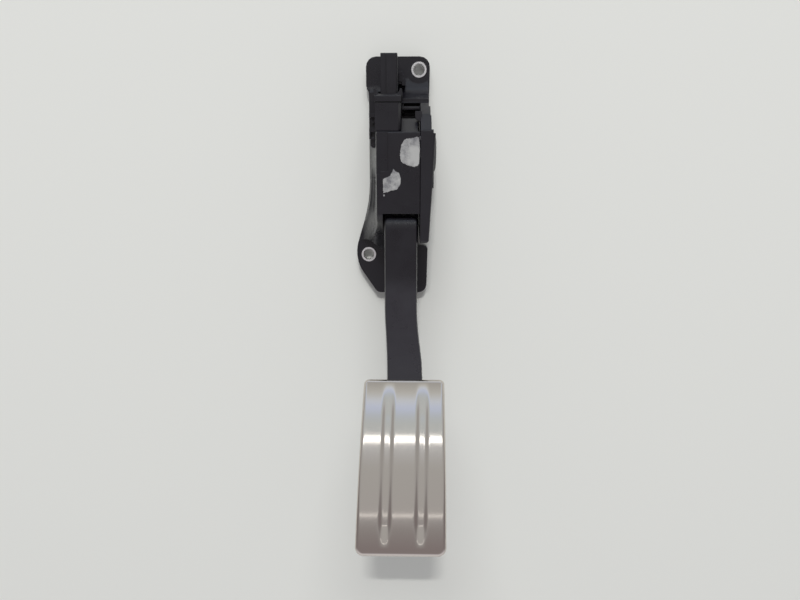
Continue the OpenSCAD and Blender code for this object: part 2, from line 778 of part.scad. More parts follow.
// One section of the arm: its upper corners are rounded
function arm_section(xc, half, high, low) =
    let(r = 1.8, d = unit(low - high), n = norm(low - high))
    [for (p = [
        [half, n], [half, r], [half - 0.3 * r, 0.3 * r], [half - r, 0],
        [-half + r, 0], [-half + 0.3 * r, 0.3 * r], [-half, r], [-half, n]
    ])
        let(q = high + d * p[1])
        [xc + p[0], q[0], q[1]]];

arm_steps = [0, 0.25, 0.7, 1.3, 2, 3, 4.2, 5.6, 7.2, 9, 18, 28, 38, 44, 50];
arm_ys = concat([for (d = arm_steps) arm_start - d], [-88, -93, -98, -103, -108, -113, -119]);
under_ts = [0.03, 0.14, 0.26, 0.38, 0.5, 0.62, 0.74, 0.84];
function under_depth(t) = 15.5 - 13 * smooth(t / 0.86);

function under_w(t) = blend(arm_pad_w, arm_pad_w - 7, t) / 2;
function tip_lean(y) = 0.12 * max(0, -88 - y);

module arm_blade() {
    outer = [for (y = arm_ys)
        arm_section(arm_mid(y), arm_half(y), [y, arm_high(y)], [y - tip_lean(y), arm_low(y)])];
    under = [for (t = under_ts)
        arm_section(
            pad_x + 0.5,
            under_w(t),
            pad_yz(t, foot_w - foot_t * (t < 0.1 ? 0.9 : 0.7)),
            pad_yz(t + 0.02, foot_w - foot_t - under_depth(t)))];
    loft(concat(outer, under));
}

// The hollow of its underside, which opens downwards
module arm_hollow() {
    outer = [for (y = arm_ys)
        if (y < arm_start - 2)
            arm_section(
                arm_mid(y),
                arm_half(y) - arm_wall,
                [y, skin_low(y)],
                [y - tip_lean(y), arm_low(y) - 2])];
    under = [for (t = under_ts)
        if (t < 0.7)
            arm_section(
                pad_x + 0.5,
                under_w(t) - arm_wall,
                pad_yz(t, foot_w - foot_t - 0.6),
                pad_yz(t + 0.02, foot_w - foot_t - under_depth(t) - 2))];
    loft(concat(outer, under));
}

// Middle and half width of the pad at t; its right edge is straight and its corners are rounded
function pad_mid(t) = -blend(0, pad_low_w - pad_top_w, t) / 2;
function corner_r(t) = t < 0.5 ? 3.2 : 5;
function end_round(t) =
    let(e = min(t, 1 - t) * arc_len, r = corner_r(t))
    e >= r ? 0 : r - sqrt(max(0, r * r - pow(r - e, 2)));
function pad_half(t, in) = blend(pad_top_w, pad_low_w, t) / 2 - in - end_round(t);

// A plate that follows the pad's curve, from w0 to w1, drawn in inside the pad's outline
module pad_plate(in, w0, w1, rows) {
    t0 = in / arc_len;
    loft([for (i = [0:rows])
        let(
            t = rows_at(i / rows),
            u = t0 + (1 - 2 * t0) * t,
            a = pad_yz(u, w1),
            b = pad_yz(u, w0),
            x = pad_x + pad_mid(t),
            h = pad_half(t, in)
        )
        [[x + h, a[0], a[1]], [x - h, a[0], a[1]], [x - h, b[0], b[1]], [x + h, b[0], b[1]]]]);
}
function rows_at(s) = (1 - cos(180 * s)) / 2 * 0.5 + s * 0.5;

module pedal_arm() {
    color("#1b1b1f") difference() {
        union() {
            arm_blade();
            pad_plate(6, foot_w - foot_t, foot_w - 0.05, 14);
            // body between the hub and the blade
            across(arm_x - arm_w / 2 + 0.4, arm_x + arm_w / 2 - 0.4)
                polygon([
                    [pivot[0] - hub_r - 0.6, pivot[1] + 8],
                    [lip_y + 10, rest_z], [lip_y + 2, rest_z],
                    [arm_start - 0.4, arm_high(arm_start) - 1.6],
                    [arm_start - 1.4, arm_low(arm_start)],
                    [-14, pivot[1] - 3], [pivot[0] - hub_r - 0.6, pivot[1] - 7]
                ]);
            across(hub_x0, hub_x1)
                polygon([
                    [pivot[0] + 1, pivot[1] + hub_r - 0.3],
                    [pivot[0] - hub_r - 1, pivot[1] + 8.5],
                    [pivot[0] - hub_r - 1, pivot[1] - 7.5],
                    [pivot[0] + 1, pivot[1] - hub_r + 0.3]
                ]);
            rod(pivot[0], pivot[1], hub_r, hub_x0, hub_x1);
        }
        // open cells between the webs
        for (x = [-3.6, 1.7, 7])
            translate([arm_x + x - 1.6, arm_start + 0.2, pivot[1] + 9])
                cube([3.2, 11, 30]);
        for (x = [-3.6, 1.7, 7])
            translate([arm_x + x - 1.6, -18, pivot[1] - 10])
                cube([3.2, 12, 16]);
        // hollow underside, stiffened by ribs
        difference() {
            arm_hollow();
            for (y = [-54, -70, -86, -102, -118, -134, -150, -166])
                translate([-20, y - 1, 0])
                    cube([60, 2, 120]);
            translate([arm_x - 1, -200, 0])
                cube([2, 200 - 54, 120]);
        }
        // bore of the hub
        rod(pivot[0], pivot[1], pin_d / 2 + bush_wall + fit_gap, hub_x0 - 1, hub_x1 + 1);
        for (x = pad_screw_x, t = pad_screw_t)
            on_pad(x, t, foot_w - foot_t - 1)
                cylinder(r = 1.7, h = foot_t + 2, $fn = 24);
        // room for the screws' heads where the beam comes close to them
        for (x = pad_screw_x, t = pad_screw_t)
            on_pad(x, t, foot_w - foot_t - 7)
                cylinder(r = 3 + slip_gap, h = 6.98, $fn = 32);
    }
}

bush_len = 6;
module plain_bush(x0) {
    difference() {
        rod(pivot[0], pivot[1], pin_d / 2 + bush_wall, x0, x0 + bush_len);
        rod(pivot[0], pivot[1], pin_d / 2 + run_gap, x0 - 1, x0 + bush_len + 1);
    }
}
module left_bush() {
    color("#b08d4f") plain_bush(hub_x0);
}
module right_bush() {
    color("#b08d4f") plain_bush(hub_x1 - bush_len);
}

module ring(x0, x1, ro) {
    difference() {
        rod(pivot[0], pivot[1], ro, x0, x1);
        rod(pivot[0], pivot[1], pin_d / 2 + 0.3, x0 - 1, x1 + 1);
    }
}
module friction_washer() {
    color("#5b3b2a") ring(hub_x1, hub_x1 + 0.8, hub_r - 1);
}
module wave_washer() {
    color("#9a9c9f") ring(hub_x1 + 1, cover_x, hub_r - 2);
}

module magnet_holder() {
    color("#3a3a40") difference() {
        rod(pivot[0], pivot[1], hub_r - 0.3, hub_x0 - 2.6, hub_x0);
        rod(pivot[0], pivot[1], pin_d / 2 + 0.4, hub_x0 - 4, hub_x0 + 1);
        for (z = [-5.2, 1])
            translate([hub_x0 - 2.6 - eps, pivot[0] + 5, pivot[1] + z])
                cube([1.6, 3.2, 4.2]);
    }
}
module magnets() {
    color("#8a8d92")
        for (z = [-5.2, 1])
            translate([hub_x0 - 2.6, pivot[0] + 5.05, pivot[1] + z + 0.05])
                cube([1.5, 3.1, 4.1]);
}

// Pad carrier, metal cap and the screws behind
pad_screw_x = [8.3 - pad_top_w / 2, pad_top_w / 2 - 8.3];
pad_screw_t = [0.2, 0.8];
module pad_carrier() {
    color("#19191b") difference() {
        pad_plate(cap_t + slip_gap, foot_w, foot_w + carrier_t - 1.5, 14);
        for (x = pad_screw_x, t = pad_screw_t)
            on_pad(x, t, foot_w - 1)
                cylinder(r = 1.2, h = 3, $fn = 24);
    }
}
module pad_screws() {
    color("#8f9194")
        for (x = pad_screw_x, t = pad_screw_t)
            on_pad(x, t, 0) {
                translate([0, 0, foot_w - foot_t - 1.65])
                    cylinder(r = 3, h = 1.6, $fn = 32);
                translate([0, 0, foot_w - foot_t - 0.05 - eps])
                    cylinder(r = 1.2, h = foot_t + 1.2, $fn = 24);
            }
}

// Distance of a point on the pad from the pad's outline, with rounded corners
function edge_dist(x, t) =
    let(
        rc = corner_r(t),
        dx = blend(pad_top_w, pad_low_w, t) / 2 - abs(x - pad_mid(t)),
        dv = min(t, 1 - t) * arc_len
    )
    dx >= rc || dv >= rc ? min(dx, dv) : rc - norm([rc - dx, rc - dv]);
edge_r = 2;
function roll(d) = d >= edge_r ? 0 : edge_r - sqrt(max(0, edge_r * edge_r - pow(edge_r - d, 2)));
function groove(x, t) =
    let(
        d = abs(abs(x - pad_mid(t)) - groove_gap / 2),
        across = d >= groove_w / 2 ? 0 : (1 + cos(360 * d / groove_w)) / 2,
        along = smooth((t - 0.03) / 0.1) * smooth((0.93 - t) / 0.04)
    )
    groove_depth * across * along;

// Column places across the cap, each a share of its half width and an offset; and row places
groove_steps = [-0.5, -0.34, -0.17, 0, 0.17, 0.34, 0.5];
cap_columns = concat(
    [for (k = [-1, -0.985, -0.955, -0.915, -0.76]) [k, 0]],
    [for (k = groove_steps) [0, -groove_gap / 2 + k * groove_w]],
    [[0, -3], [0, 3]],
    [for (k = groove_steps) [0, groove_gap / 2 + k * groove_w]],
    [for (k = [0.76, 0.915, 0.955, 0.985, 1]) [k, 0]]);
cap_rows = concat(
    [0, 0.004, 0.012, 0.022, 0.04, 0.07, 0.11],
    [for (i = [1:11]) 0.11 + i * 0.067],
    [0.88, 0.905, 0.93, 0.955, 0.975, 0.988, 0.996, 1]);
function cap_x(t, c, in) = pad_mid(t) + c[0] * pad_half(t, in) + c[1];

module pad_cap() {
    nc = len(cap_columns);
    nr = len(cap_rows);
    top = [for (t = cap_rows, c = cap_columns)
        let(
            x = cap_x(t, c, 0),
            p = pad_yz(t, -roll(edge_dist(x, t)) - groove(x, t))
        )
        [pad_x + x, p[0], p[1]]];
    shrink = 1 - 2 * cap_t / arc_len;
    under = [for (t = cap_rows, c = cap_columns)
        let(
            u = cap_t / arc_len + shrink * t,
            x = cap_x(t, c, cap_t),
            p = pad_yz(u, -cap_t - roll(max(0, edge_dist(x, u) - cap_t)) * 0.6 - groove(x, u))
        )
        [pad_x + x, p[0], p[1]]];
    edge = concat(
        [for (c = [0:nc - 1]) [0, c]],
        [for (r = [1:nr - 1]) [r, nc - 1]],
        [for (c = [nc - 2:-1:0]) [nr - 1, c]],
        [for (r = [nr - 2:-1:1]) [r, 0]]);
    ne = len(edge);
    function rim_pt(e, in, w) =
        let(
            t = cap_rows[e[0]],
            u = in / arc_len + (1 - 2 * in / arc_len) * t,
            p = pad_yz(u, w)
        )
        [pad_x + cap_x(t, cap_columns[e[1]], in), p[0], p[1]];
    outer_rim = [for (e = edge) rim_pt(e, 0, -rim_h)];
    inner_rim = [for (e = edge) rim_pt(e, cap_t, -rim_h)];
    n = nc * nr;
    function at(e) = e[0] * nc + e[1];
    top_faces = [for (r = [0:nr - 2], c = [0:nc - 2])
        let(a = r * nc + c)
        each [[a, a + nc + 1, a + nc], [a, a + 1, a + nc + 1]]];
    under_faces = [for (f = top_faces) [f[2] + n, f[1] + n, f[0] + n]];
    rim_faces = [for (i = [0:ne - 1])
        let(
            j = (i + 1) % ne,
            a = at(edge[i]),
            b = at(edge[j]),
            c = 2 * n + i,
            d = 2 * n + j,
            g = c + ne,
            h = d + ne
        )
        each [
            [a, d, b], [a, c, d],
            [c, h, d], [c, g, h],
            [g, b + n, h], [g, a + n, b + n]
        ]];
    color("#b9b6b0")
        polyhedron(
            points = concat(top, under, outer_rim, inner_rim),
            faces = concat(top_faces, under_faces, rim_faces),
            convexity = 10);
}

housing();
side_cover();
cover_screws();
upper_bushing();
lower_bushing();
pivot_pin();
sensor_body();
sensor_lid();
circuit_board();
sensor_chips();
terminals();
spring_seat();
rest_stop();
full_stop();
wave_washer();
outer_spring();
inner_spring();
pedal_arm();
left_bush();
right_bush();
friction_washer();
magnet_holder();
magnets();
spring_cup();
pad_carrier();
pad_cap();
pad_screws();
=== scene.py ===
"""Accelerator pedal with its sensor housing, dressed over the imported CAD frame."""

import json
import math
import random

import bmesh
import bpy
from mathutils import Matrix, Vector

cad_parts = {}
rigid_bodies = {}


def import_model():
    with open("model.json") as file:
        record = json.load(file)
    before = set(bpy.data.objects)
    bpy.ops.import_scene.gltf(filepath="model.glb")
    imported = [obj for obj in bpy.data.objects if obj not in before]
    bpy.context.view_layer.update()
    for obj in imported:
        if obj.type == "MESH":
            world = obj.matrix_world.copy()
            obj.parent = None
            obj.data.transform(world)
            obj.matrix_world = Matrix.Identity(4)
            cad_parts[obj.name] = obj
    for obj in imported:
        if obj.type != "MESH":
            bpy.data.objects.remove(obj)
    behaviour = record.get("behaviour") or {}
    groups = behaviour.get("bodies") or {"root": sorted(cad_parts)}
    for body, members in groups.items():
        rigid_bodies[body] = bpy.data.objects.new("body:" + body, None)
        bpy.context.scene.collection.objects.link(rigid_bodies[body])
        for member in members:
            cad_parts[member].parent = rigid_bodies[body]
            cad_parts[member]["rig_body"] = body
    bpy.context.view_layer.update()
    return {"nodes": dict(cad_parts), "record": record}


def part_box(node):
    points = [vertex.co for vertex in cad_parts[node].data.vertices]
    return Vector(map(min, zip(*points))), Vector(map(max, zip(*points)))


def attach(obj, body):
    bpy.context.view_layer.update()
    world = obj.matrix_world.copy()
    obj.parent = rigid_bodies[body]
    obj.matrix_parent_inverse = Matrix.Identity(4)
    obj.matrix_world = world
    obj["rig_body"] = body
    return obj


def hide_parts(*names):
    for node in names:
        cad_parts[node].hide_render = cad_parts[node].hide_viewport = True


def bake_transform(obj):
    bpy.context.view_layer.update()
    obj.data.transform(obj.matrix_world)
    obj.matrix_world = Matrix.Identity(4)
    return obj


bl_info = {
    "name": "Accelerator Pedal",
    "version": (1, 0, 0),
    "blender": (4, 5, 0),
    "location": "3D View > Sidebar > Pedal",
    "description": "Dresses the accelerator pedal's CAD frame with finished pieces and materials",
    "category": "Object",
}

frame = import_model()
NODES = frame["nodes"]
SLOTS = {part["node"]: part["material_slot"] for part in frame["record"]["subparts"]}
MM = 0.001
MERGE = 0.002 * MM  # points closer than this are one point


# ---------------------------------------------------------------- colours and shader nodes

def linear(hex_colour):
    """Turns an sRGB hex colour into Blender's linear colour."""
    digits = hex_colour.lstrip("#")
    channels = [int(digits[i:i + 2], 16) / 255 for i in (0, 2, 4)]
    return tuple(c / 12.92 if c <= 0.04045 else ((c + 0.055) / 1.055) ** 2.4 for c in channels) + (1.0,)


def add(tree, kind, values=None, feeds=None, **settings):
    """Adds one node: its settings, its sockets' constants and the sockets that feed it."""
    made = tree.nodes.new(kind)
    for name, value in settings.items():
        setattr(made, name, value)
    for name, value in (values or {}).items():
        made.inputs[name].default_value = value
    for name, socket in (feeds or {}).items():
        tree.links.new(socket, made.inputs[name])
    return made


def blank(name):
    """A new material with an empty node tree."""
    material = bpy.data.materials.new(name)
    material.use_nodes = True
    material.node_tree.nodes.clear()
    return material, material.node_tree


# ---------------------------------------------------------------- sizes and colours a user may change

class PedalSizes(bpy.types.PropertyGroup):
    """Sizes of the pieces and finishes that this scene adds to the CAD frame."""
    edge: bpy.props.FloatProperty(
        name="Moulded edge radius", description="Rounding that the mould leaves on plastic edges",
        default=0.45 * MM, min=0.0, max=1.0 * MM, unit="LENGTH", precision=5)
    groove_depth: bpy.props.FloatProperty(
        name="Groove depth", description="Depth of the two long grooves pressed into the pad's cap",
        default=1.3 * MM, min=0.0, max=2.0 * MM, unit="LENGTH", precision=5)
    outer_wire: bpy.props.FloatProperty(
        name="Outer spring wire", description="Wire diameter of the outer return spring",
        default=1.8 * MM, min=1.0 * MM, max=2.5 * MM, unit="LENGTH", precision=5)
    inner_wire: bpy.props.FloatProperty(
        name="Inner spring wire", description="Wire diameter of the inner return spring",
        default=1.2 * MM, min=0.8 * MM, max=1.8 * MM, unit="LENGTH", precision=5)


class PedalColours(bpy.types.PropertyGroup):
    """Colours of the finishes."""
    housing: bpy.props.FloatVectorProperty(
        name="Housing plastic", description="Black glass-filled nylon of the housing and the arm",
        default=linear("#111015"), size=4, min=0.0, max=1.0, subtype="COLOR")
    cover: bpy.props.FloatVectorProperty(
        name="Cover plastic", description="Black plastic of the side cover",
        default=linear("#131217"), size=4, min=0.0, max=1.0, subtype="COLOR")
    pad: bpy.props.FloatVectorProperty(
        name="Pad metal", description="Satin stainless steel of the pad's cap",
        default=linear("#d2cbc3"), size=4, min=0.0, max=1.0, subtype="COLOR")
    floor: bpy.props.FloatVectorProperty(
        name="Table", description="Pale table top under the pedal",
        default=linear("#dcddd8"), size=4, min=0.0, max=1.0, subtype="COLOR")


# ---------------------------------------------------------------- materials

GRAIN_MM = 0.35  # a moulded skin's grain; the real one is near 0.1 mm, too fine to show, so it is drawn this coarse
CLOUD_MM = 100 / 9  # a moulded skin's patches of cloudier gloss, about 11 mm across
DAPPLE_MM = 2.0  # a metal's patches of softer gloss
STREAK_MM = (0.25, 8.0, 0.25)  # one line of a metal's grain; really 0.05 mm across, drawn wider so that it shows
FIBRE_MM = 1 / 2.6  # a paper fibre, about 0.4 mm, drawn as coarse as it needs to show
BLOT_MM = 1 / 0.17  # the patches in which the paper has split, about 6 mm across

# The colour sockets of a Mix node, by number, because they share their names with its other sockets
SHARE, COLOUR_A, COLOUR_B, MIXED = 0, 6, 7, 2


def moulded_plastic(name, colour, rough=0.3, painted_reflection=None):
    """Plastic injection moulded in an eroded steel mould: a fine even grain, slightly cloudy gloss where the filling
    comes near the skin, and softened edges that catch the light. Given a colour and the Y where it starts and where
    it is full, in mm, it paints a lighter grey over the part towards the pad: a painted reflection of the pale room."""
    material, tree = blank(name)
    spot = add(tree, "ShaderNodeTexCoord").outputs["Object"]
    cloud = add(tree, "ShaderNodeTexNoise", {"Scale": 1.0 / (CLOUD_MM * MM), "Detail": 4.0, "Roughness": 0.6},
                {"Vector": spot}).outputs["Fac"]
    grain = add(tree, "ShaderNodeTexNoise", {"Scale": 1.0 / (GRAIN_MM * MM), "Detail": 3.0, "Roughness": 0.65},
                {"Vector": spot}).outputs["Fac"]
    lighter = tuple(min(1.0, c * 1.3) for c in colour[:3]) + (1.0,)
    tint = add(tree, "ShaderNodeMix", {COLOUR_A: colour, COLOUR_B: lighter}, {SHARE: cloud},
               data_type="RGBA").outputs[MIXED]
    gloss = add(tree, "ShaderNodeMapRange",
                {"From Min": 0.3, "From Max": 0.7, "To Min": rough - 0.07, "To Max": rough + 0.1}, {"Value": cloud})
    # Painted reflection: a lighter grey spreads over the part towards the pad, patchy with the cloud
    if painted_reflection:
        reflection_colour, start, full = painted_reflection
        along = add(tree, "ShaderNodeSeparateXYZ", feeds={"Vector": spot}).outputs["Y"]
        near = add(tree, "ShaderNodeMapRange", {"From Min": start * MM, "From Max": full * MM}, {"Value": along},
                   interpolation_type="SMOOTHSTEP").outputs["Result"]
        patchy = add(tree, "ShaderNodeMapRange", {"From Min": 0.3, "From Max": 0.7, "To Min": 0.85, "To Max": 1.0},
                     {"Value": cloud}).outputs["Result"]
        share = add(tree, "ShaderNodeMath", feeds={0: near, 1: patchy}, operation="MULTIPLY").outputs[0]
        tint = add(tree, "ShaderNodeMix", {COLOUR_B: reflection_colour}, {SHARE: share, COLOUR_A: tint},
                   data_type="RGBA").outputs[MIXED]
    soft = add(tree, "ShaderNodeBevel", {"Radius": bpy.context.scene.pedal_sizes.edge}, samples=6)
    bump = add(tree, "ShaderNodeBump", {"Strength": 0.28, "Distance": 0.06 * MM},
               {"Height": grain, "Normal": soft.outputs["Normal"]})
    skin = add(tree, "ShaderNodeBsdfPrincipled", {"IOR": 1.53},
               {"Base Color": tint, "Roughness": gloss.outputs["Result"], "Normal": bump.outputs["Normal"]})
    add(tree, "ShaderNodeOutputMaterial", feeds={"Surface": skin.outputs["BSDF"]})
    return material


def worked_metal(name, colour, rough):
    """Metal that was rolled, drawn or plated: faint lines along Y, the way it was worked, and small changes of gloss,
    so that what it mirrors has soft and slightly broken edges."""
    material, tree = blank(name)
    spot = add(tree, "ShaderNodeTexCoord").outputs["Object"]
    dapple = add(tree, "ShaderNodeTexNoise", {"Scale": 1.0 / (DAPPLE_MM * MM), "Detail": 3.0}, {"Vector": spot})
    drawn = add(tree, "ShaderNodeMapping", {"Scale": tuple(1.0 / (size * MM) for size in STREAK_MM)},
                {"Vector": spot})
    lines = add(tree, "ShaderNodeTexNoise", {"Scale": 1.0, "Detail": 2.0}, {"Vector": drawn.outputs["Vector"]})
    both = add(tree, "ShaderNodeMath", {1: 0.5}, {0: lines.outputs["Fac"], 2: dapple.outputs["Fac"]},
               operation="MULTIPLY_ADD")
    gloss = add(tree, "ShaderNodeMapRange",
                {"From Min": 0.25, "From Max": 1.25, "To Min": rough * 0.75, "To Max": rough * 1.25},
                {"Value": both.outputs[0]})
    skin = add(tree, "ShaderNodeBsdfPrincipled", {"Base Color": colour, "Metallic": 1.0},
               {"Roughness": gloss.outputs["Result"]})
    add(tree, "ShaderNodeOutputMaterial", feeds={"Surface": skin.outputs["BSDF"]})
    return material


def torn_paper():
    """Backing paper left where a label was pulled off: matt grey fibres, split in its thickness, so that it looks
    blotchy and dry beside the glossy plastic."""
    material, tree = blank("label_backing_paper_torn")
    spot = add(tree, "ShaderNodeTexCoord").outputs["Object"]
    fibre = add(tree, "ShaderNodeTexNoise",
                {"Scale": 1.0 / (FIBRE_MM * MM), "Detail": 4.0, "Roughness": 0.6, "Distortion": 0.6},
                {"Vector": spot}).outputs["Fac"]
    blot = add(tree, "ShaderNodeTexNoise", {"Scale": 1.0 / (BLOT_MM * MM), "Detail": 3.0}, {"Vector": spot})
    mixed = add(tree, "ShaderNodeMath", {1: 0.55}, {0: fibre, 2: blot.outputs["Fac"]}, operation="MULTIPLY_ADD")
    ramp = add(tree, "ShaderNodeValToRGB", feeds={"Fac": mixed.outputs[0]})
    for stop, place, colour in zip(ramp.color_ramp.elements, (0.58, 0.9), ("#67676b", "#aaaaa8")):
        stop.position = place
        stop.color = linear(colour)
    bump = add(tree, "ShaderNodeBump", {"Strength": 0.6, "Distance": 0.1 * MM}, {"Height": fibre})
    skin = add(tree, "ShaderNodeBsdfPrincipled", {"Roughness": 0.9},
               {"Base Color": ramp.outputs["Color"], "Normal": bump.outputs["Normal"]})
    add(tree, "ShaderNodeOutputMaterial", feeds={"Surface": skin.outputs["BSDF"]})
    return material


FINISHES = {}


def finish(slot):
    """The material for one of the record's slots, or for a finish of this scene's own, made once."""
    if slot in FINISHES:
        return FINISHES[slot]
    colours = bpy.context.scene.pedal_colours
    housing, cover, pad = tuple(colours.housing), tuple(colours.cover), tuple(colours.pad)
    # The lighter grey painted on the arm from Y -64 mm, full from -80 mm: a painted reflection of the pale room
    arm_reflection = (linear("#29282d"), -64.0, -80.0)
    makers = {
        # near black and half glossy, with thin light lines along its edges
        "black_plastic": lambda: moulded_plastic("glass_filled_nylon_moulded", housing),
        # the same skin, with a painted reflection towards the pad: a lighter grey where the arm mirrors the pale room
        "arm_plastic": lambda: moulded_plastic("glass_filled_nylon_reflection_painted_near_pad", housing, painted_reflection=arm_reflection),
        # a shade lighter and duller than the housing, so that the cover's outline shows
        "cover_plastic": lambda: moulded_plastic("nylon_cover_moulded", cover, rough=0.4),
        # black with a broad soft gloss on the box's flat faces
        "sensor_plastic": lambda: moulded_plastic("pbt_connector_moulded", housing, rough=0.34),
        # milky cream with a waxy gloss
        "light_plastic": lambda: moulded_plastic("acetal_natural_moulded", linear("#c9c4b4"), rough=0.4),
        # warm and nearly mirror-like: the crowned face shows the lamps and the room as long bands
        "pad_metal": lambda: worked_metal("stainless_sheet_pressed", pad, 0.09),
        # cool and bright, with small clear highlights
        "steel": lambda: worked_metal("steel_zinc_plated", linear("#f0f0ef"), 0.24),
        # soft plated steel, its colour pushed to near white as painted light, so that the bores stay bright in shade
        "bushing_steel": lambda: worked_metal("nickel_steel_painted_pale", linear("#fbfbfa"), 0.42),
        # darker grey wire with a line of light along each turn
        "spring_steel": lambda: worked_metal("spring_wire_drawn", linear("#8d8f92"), 0.35),
        # brown gold and dull from its pores
        "bronze": lambda: worked_metal("bronze_sintered", linear("#a9814e"), 0.45),
        # pale and bright, a little warmer than zinc
        "terminal_metal": lambda: worked_metal("brass_tin_plated", linear("#d2d0c8"), 0.25),
        # dusty brown without gloss
        "friction_lining": lambda: moulded_plastic("friction_lining_moulded", linear("#5a5148"), rough=0.8),
        # smooth warm grey with clear highlights
        "magnet": lambda: worked_metal("magnet_nickel_plated", linear("#b6b4ae"), 0.25),
        # green under a clear skin
        "board": lambda: moulded_plastic("glass_epoxy_board_lacquered", linear("#2c5b3a"), rough=0.35),
        # charcoal and matt
        "chip": lambda: moulded_plastic("epoxy_chip_moulded", linear("#1d1d1f"), rough=0.55),
        # soft black that hardly shines
        "rubber": lambda: moulded_plastic("nitrile_rubber_moulded", linear("#1f1f20"), rough=0.75),
    }
    FINISHES[slot] = makers[slot]()
    return FINISHES[slot]


# ---------------------------------------------------------------- mesh helpers

def piece(name, points, faces, material, body, smooth=True):
    """A finished mesh object at the origin that rides on a body."""
    mesh = bpy.data.meshes.new(name)
    mesh.from_pydata([tuple(p) for p in points], [], faces)
    mesh.update()
    obj = bpy.data.objects.new(name, mesh)
    bpy.context.scene.collection.objects.link(obj)
    mesh.materials.append(material)
    mesh.polygons.foreach_set("use_smooth", [smooth] * len(mesh.polygons))
    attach(obj, body)
    return obj


def evaluated(obj, name):
    """A plain mesh object from a modified one, which is removed."""
    graph = bpy.context.evaluated_depsgraph_get()
    mesh = bpy.data.meshes.new_from_object(obj.evaluated_get(graph))
    mesh.name = name
    plain = bpy.data.objects.new(name, mesh)
    bpy.context.scene.collection.objects.link(plain)
    old = obj.data
    bpy.data.objects.remove(obj)
    if not old.users:
        bpy.data.meshes.remove(old)
    return plain


def dressed(node, name, slot, sharp=30.0):
    """A merged copy of a CAD node with smooth curves, flat flats and crisp edges; it replaces the node. Edges that
    turn by more than sharp degrees stay crisp."""
    mend = bmesh.new()
    mend.from_mesh(NODES[node].data)
    bmesh.ops.remove_doubles(mend, verts=mend.verts, dist=MERGE)
    bmesh.ops.dissolve_degenerate(mend, edges=mend.edges, dist=MERGE / 2)
    bmesh.ops.dissolve_limit(mend, angle_limit=math.radians(0.5), verts=mend.verts, edges=mend.edges)
    limit = math.radians(sharp)
    for edge in mend.edges:
        edge.smooth = len(edge.link_faces) == 2 and edge.calc_face_angle(math.pi) < limit
    for face in mend.faces:
        face.smooth = True
        face.material_index = 0
    mesh = bpy.data.meshes.new(name)
    mend.to_mesh(mesh)
    mend.free()
    mesh.materials.append(finish(slot))
    obj = bpy.data.objects.new(name + "_blank", mesh)
    bpy.context.scene.collection.objects.link(obj)
    obj.modifiers.new("flats", "WEIGHTED_NORMAL").keep_sharp = True
    done = evaluated(obj, name)
    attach(done, NODES[node]["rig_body"])
    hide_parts(node)
    return done


def tidy_mesh(mesh):
    """Merges double points, drops slivers, splits the many-cornered faces and turns every normal outward."""
    mend = bmesh.new()
    mend.from_mesh(mesh)
    bmesh.ops.remove_doubles(mend, verts=mend.verts, dist=MERGE)
    bmesh.ops.dissolve_degenerate(mend, edges=mend.edges, dist=MERGE)
    bmesh.ops.triangulate(mend, faces=[face for face in mend.faces if len(face.verts) > 4])
    bmesh.ops.recalc_face_normals(mend, faces=mend.faces)
    mend.to_mesh(mesh)
    mend.free()
    mesh.validate()


# ---------------------------------------------------------------- Geometry Nodes helpers

def open_tree(name, sizes, material):
    """A Geometry Nodes tree with its named inputs, a geometry, the sizes and a material, and what they give."""
    tree = bpy.data.node_groups.new(name, "GeometryNodeTree")
    face = tree.interface
    face.new_socket("Geometry", in_out="INPUT", socket_type="NodeSocketGeometry")
    for label, value in sizes:
        face.new_socket(label, in_out="INPUT", socket_type="NodeSocketFloat").default_value = value
    face.new_socket(material, in_out="INPUT", socket_type="NodeSocketMaterial")
    face.new_socket("Geometry", in_out="OUTPUT", socket_type="NodeSocketGeometry")
    return tree, add(tree, "NodeGroupInput").outputs


def close_tree(tree, shape, material):
    """Makes the shape real, gives it its material and hands it out."""
    real = add(tree, "GeometryNodeRealizeInstances", feeds={"Geometry": shape})
    painted = add(tree, "GeometryNodeSetMaterial", feeds={"Geometry": real.outputs["Geometry"], "Material": material})
    add(tree, "NodeGroupOutput", feeds={"Geometry": painted.outputs["Geometry"]})


def run_tree(tree, name, values, body, start=None):
    """Runs a Geometry Nodes tree on a start mesh, or on an empty one, and returns its result as a plain piece, which
    rides on the body if one is given."""
    base = bpy.data.objects.new(name + "_source", start or bpy.data.meshes.new(name + "_source"))
    bpy.context.scene.collection.objects.link(base)
    step = base.modifiers.new("shape", "NODES")
    step.node_group = tree
    sockets = {item.name: item.identifier for item in tree.interface.items_tree
               if item.item_type == "SOCKET" and item.in_out == "INPUT"}
    for key, value in values.items():
        step[sockets[key]] = value
    made = evaluated(base, name)
    if not made.data.polygons:
        raise RuntimeError(f"{name} came out empty")
    tidy_mesh(made.data)
    made.data.polygons.foreach_set("use_smooth", [True] * len(made.data.polygons))
    if body:
        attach(made, body)
    return made


# ---------------------------------------------------------------- the pad's curve, the same values as in the CAD source

# In millimetres. t runs from 0 at the pad's upper end to 1 at its lower end, x is across it, and w is off its face
PAD = {
    "x": 8.1, "y0": -127.6, "z0": 62.0, "tilt": math.radians(29),  # the middle of its upper end, and its slope
    "r": 220.0, "length": 100.4,  # the radius of its crown, and the chord
    "top": 48.6, "low": 51.4,  # its width at the upper and the lower end
    "sheet": 1.0, "rim": 5.0, "edge": 2.4,  # the steel's thickness, the rim's depth and the fold's radius
    "groove": 8.2, "gap": 20.2,  # the grooves' width, and the distance between their middles
}
PAD["half"] = math.asin(PAD["length"] / 2 / PAD["r"])
PAD["arc"] = 2 * PAD["half"] * PAD["r"]

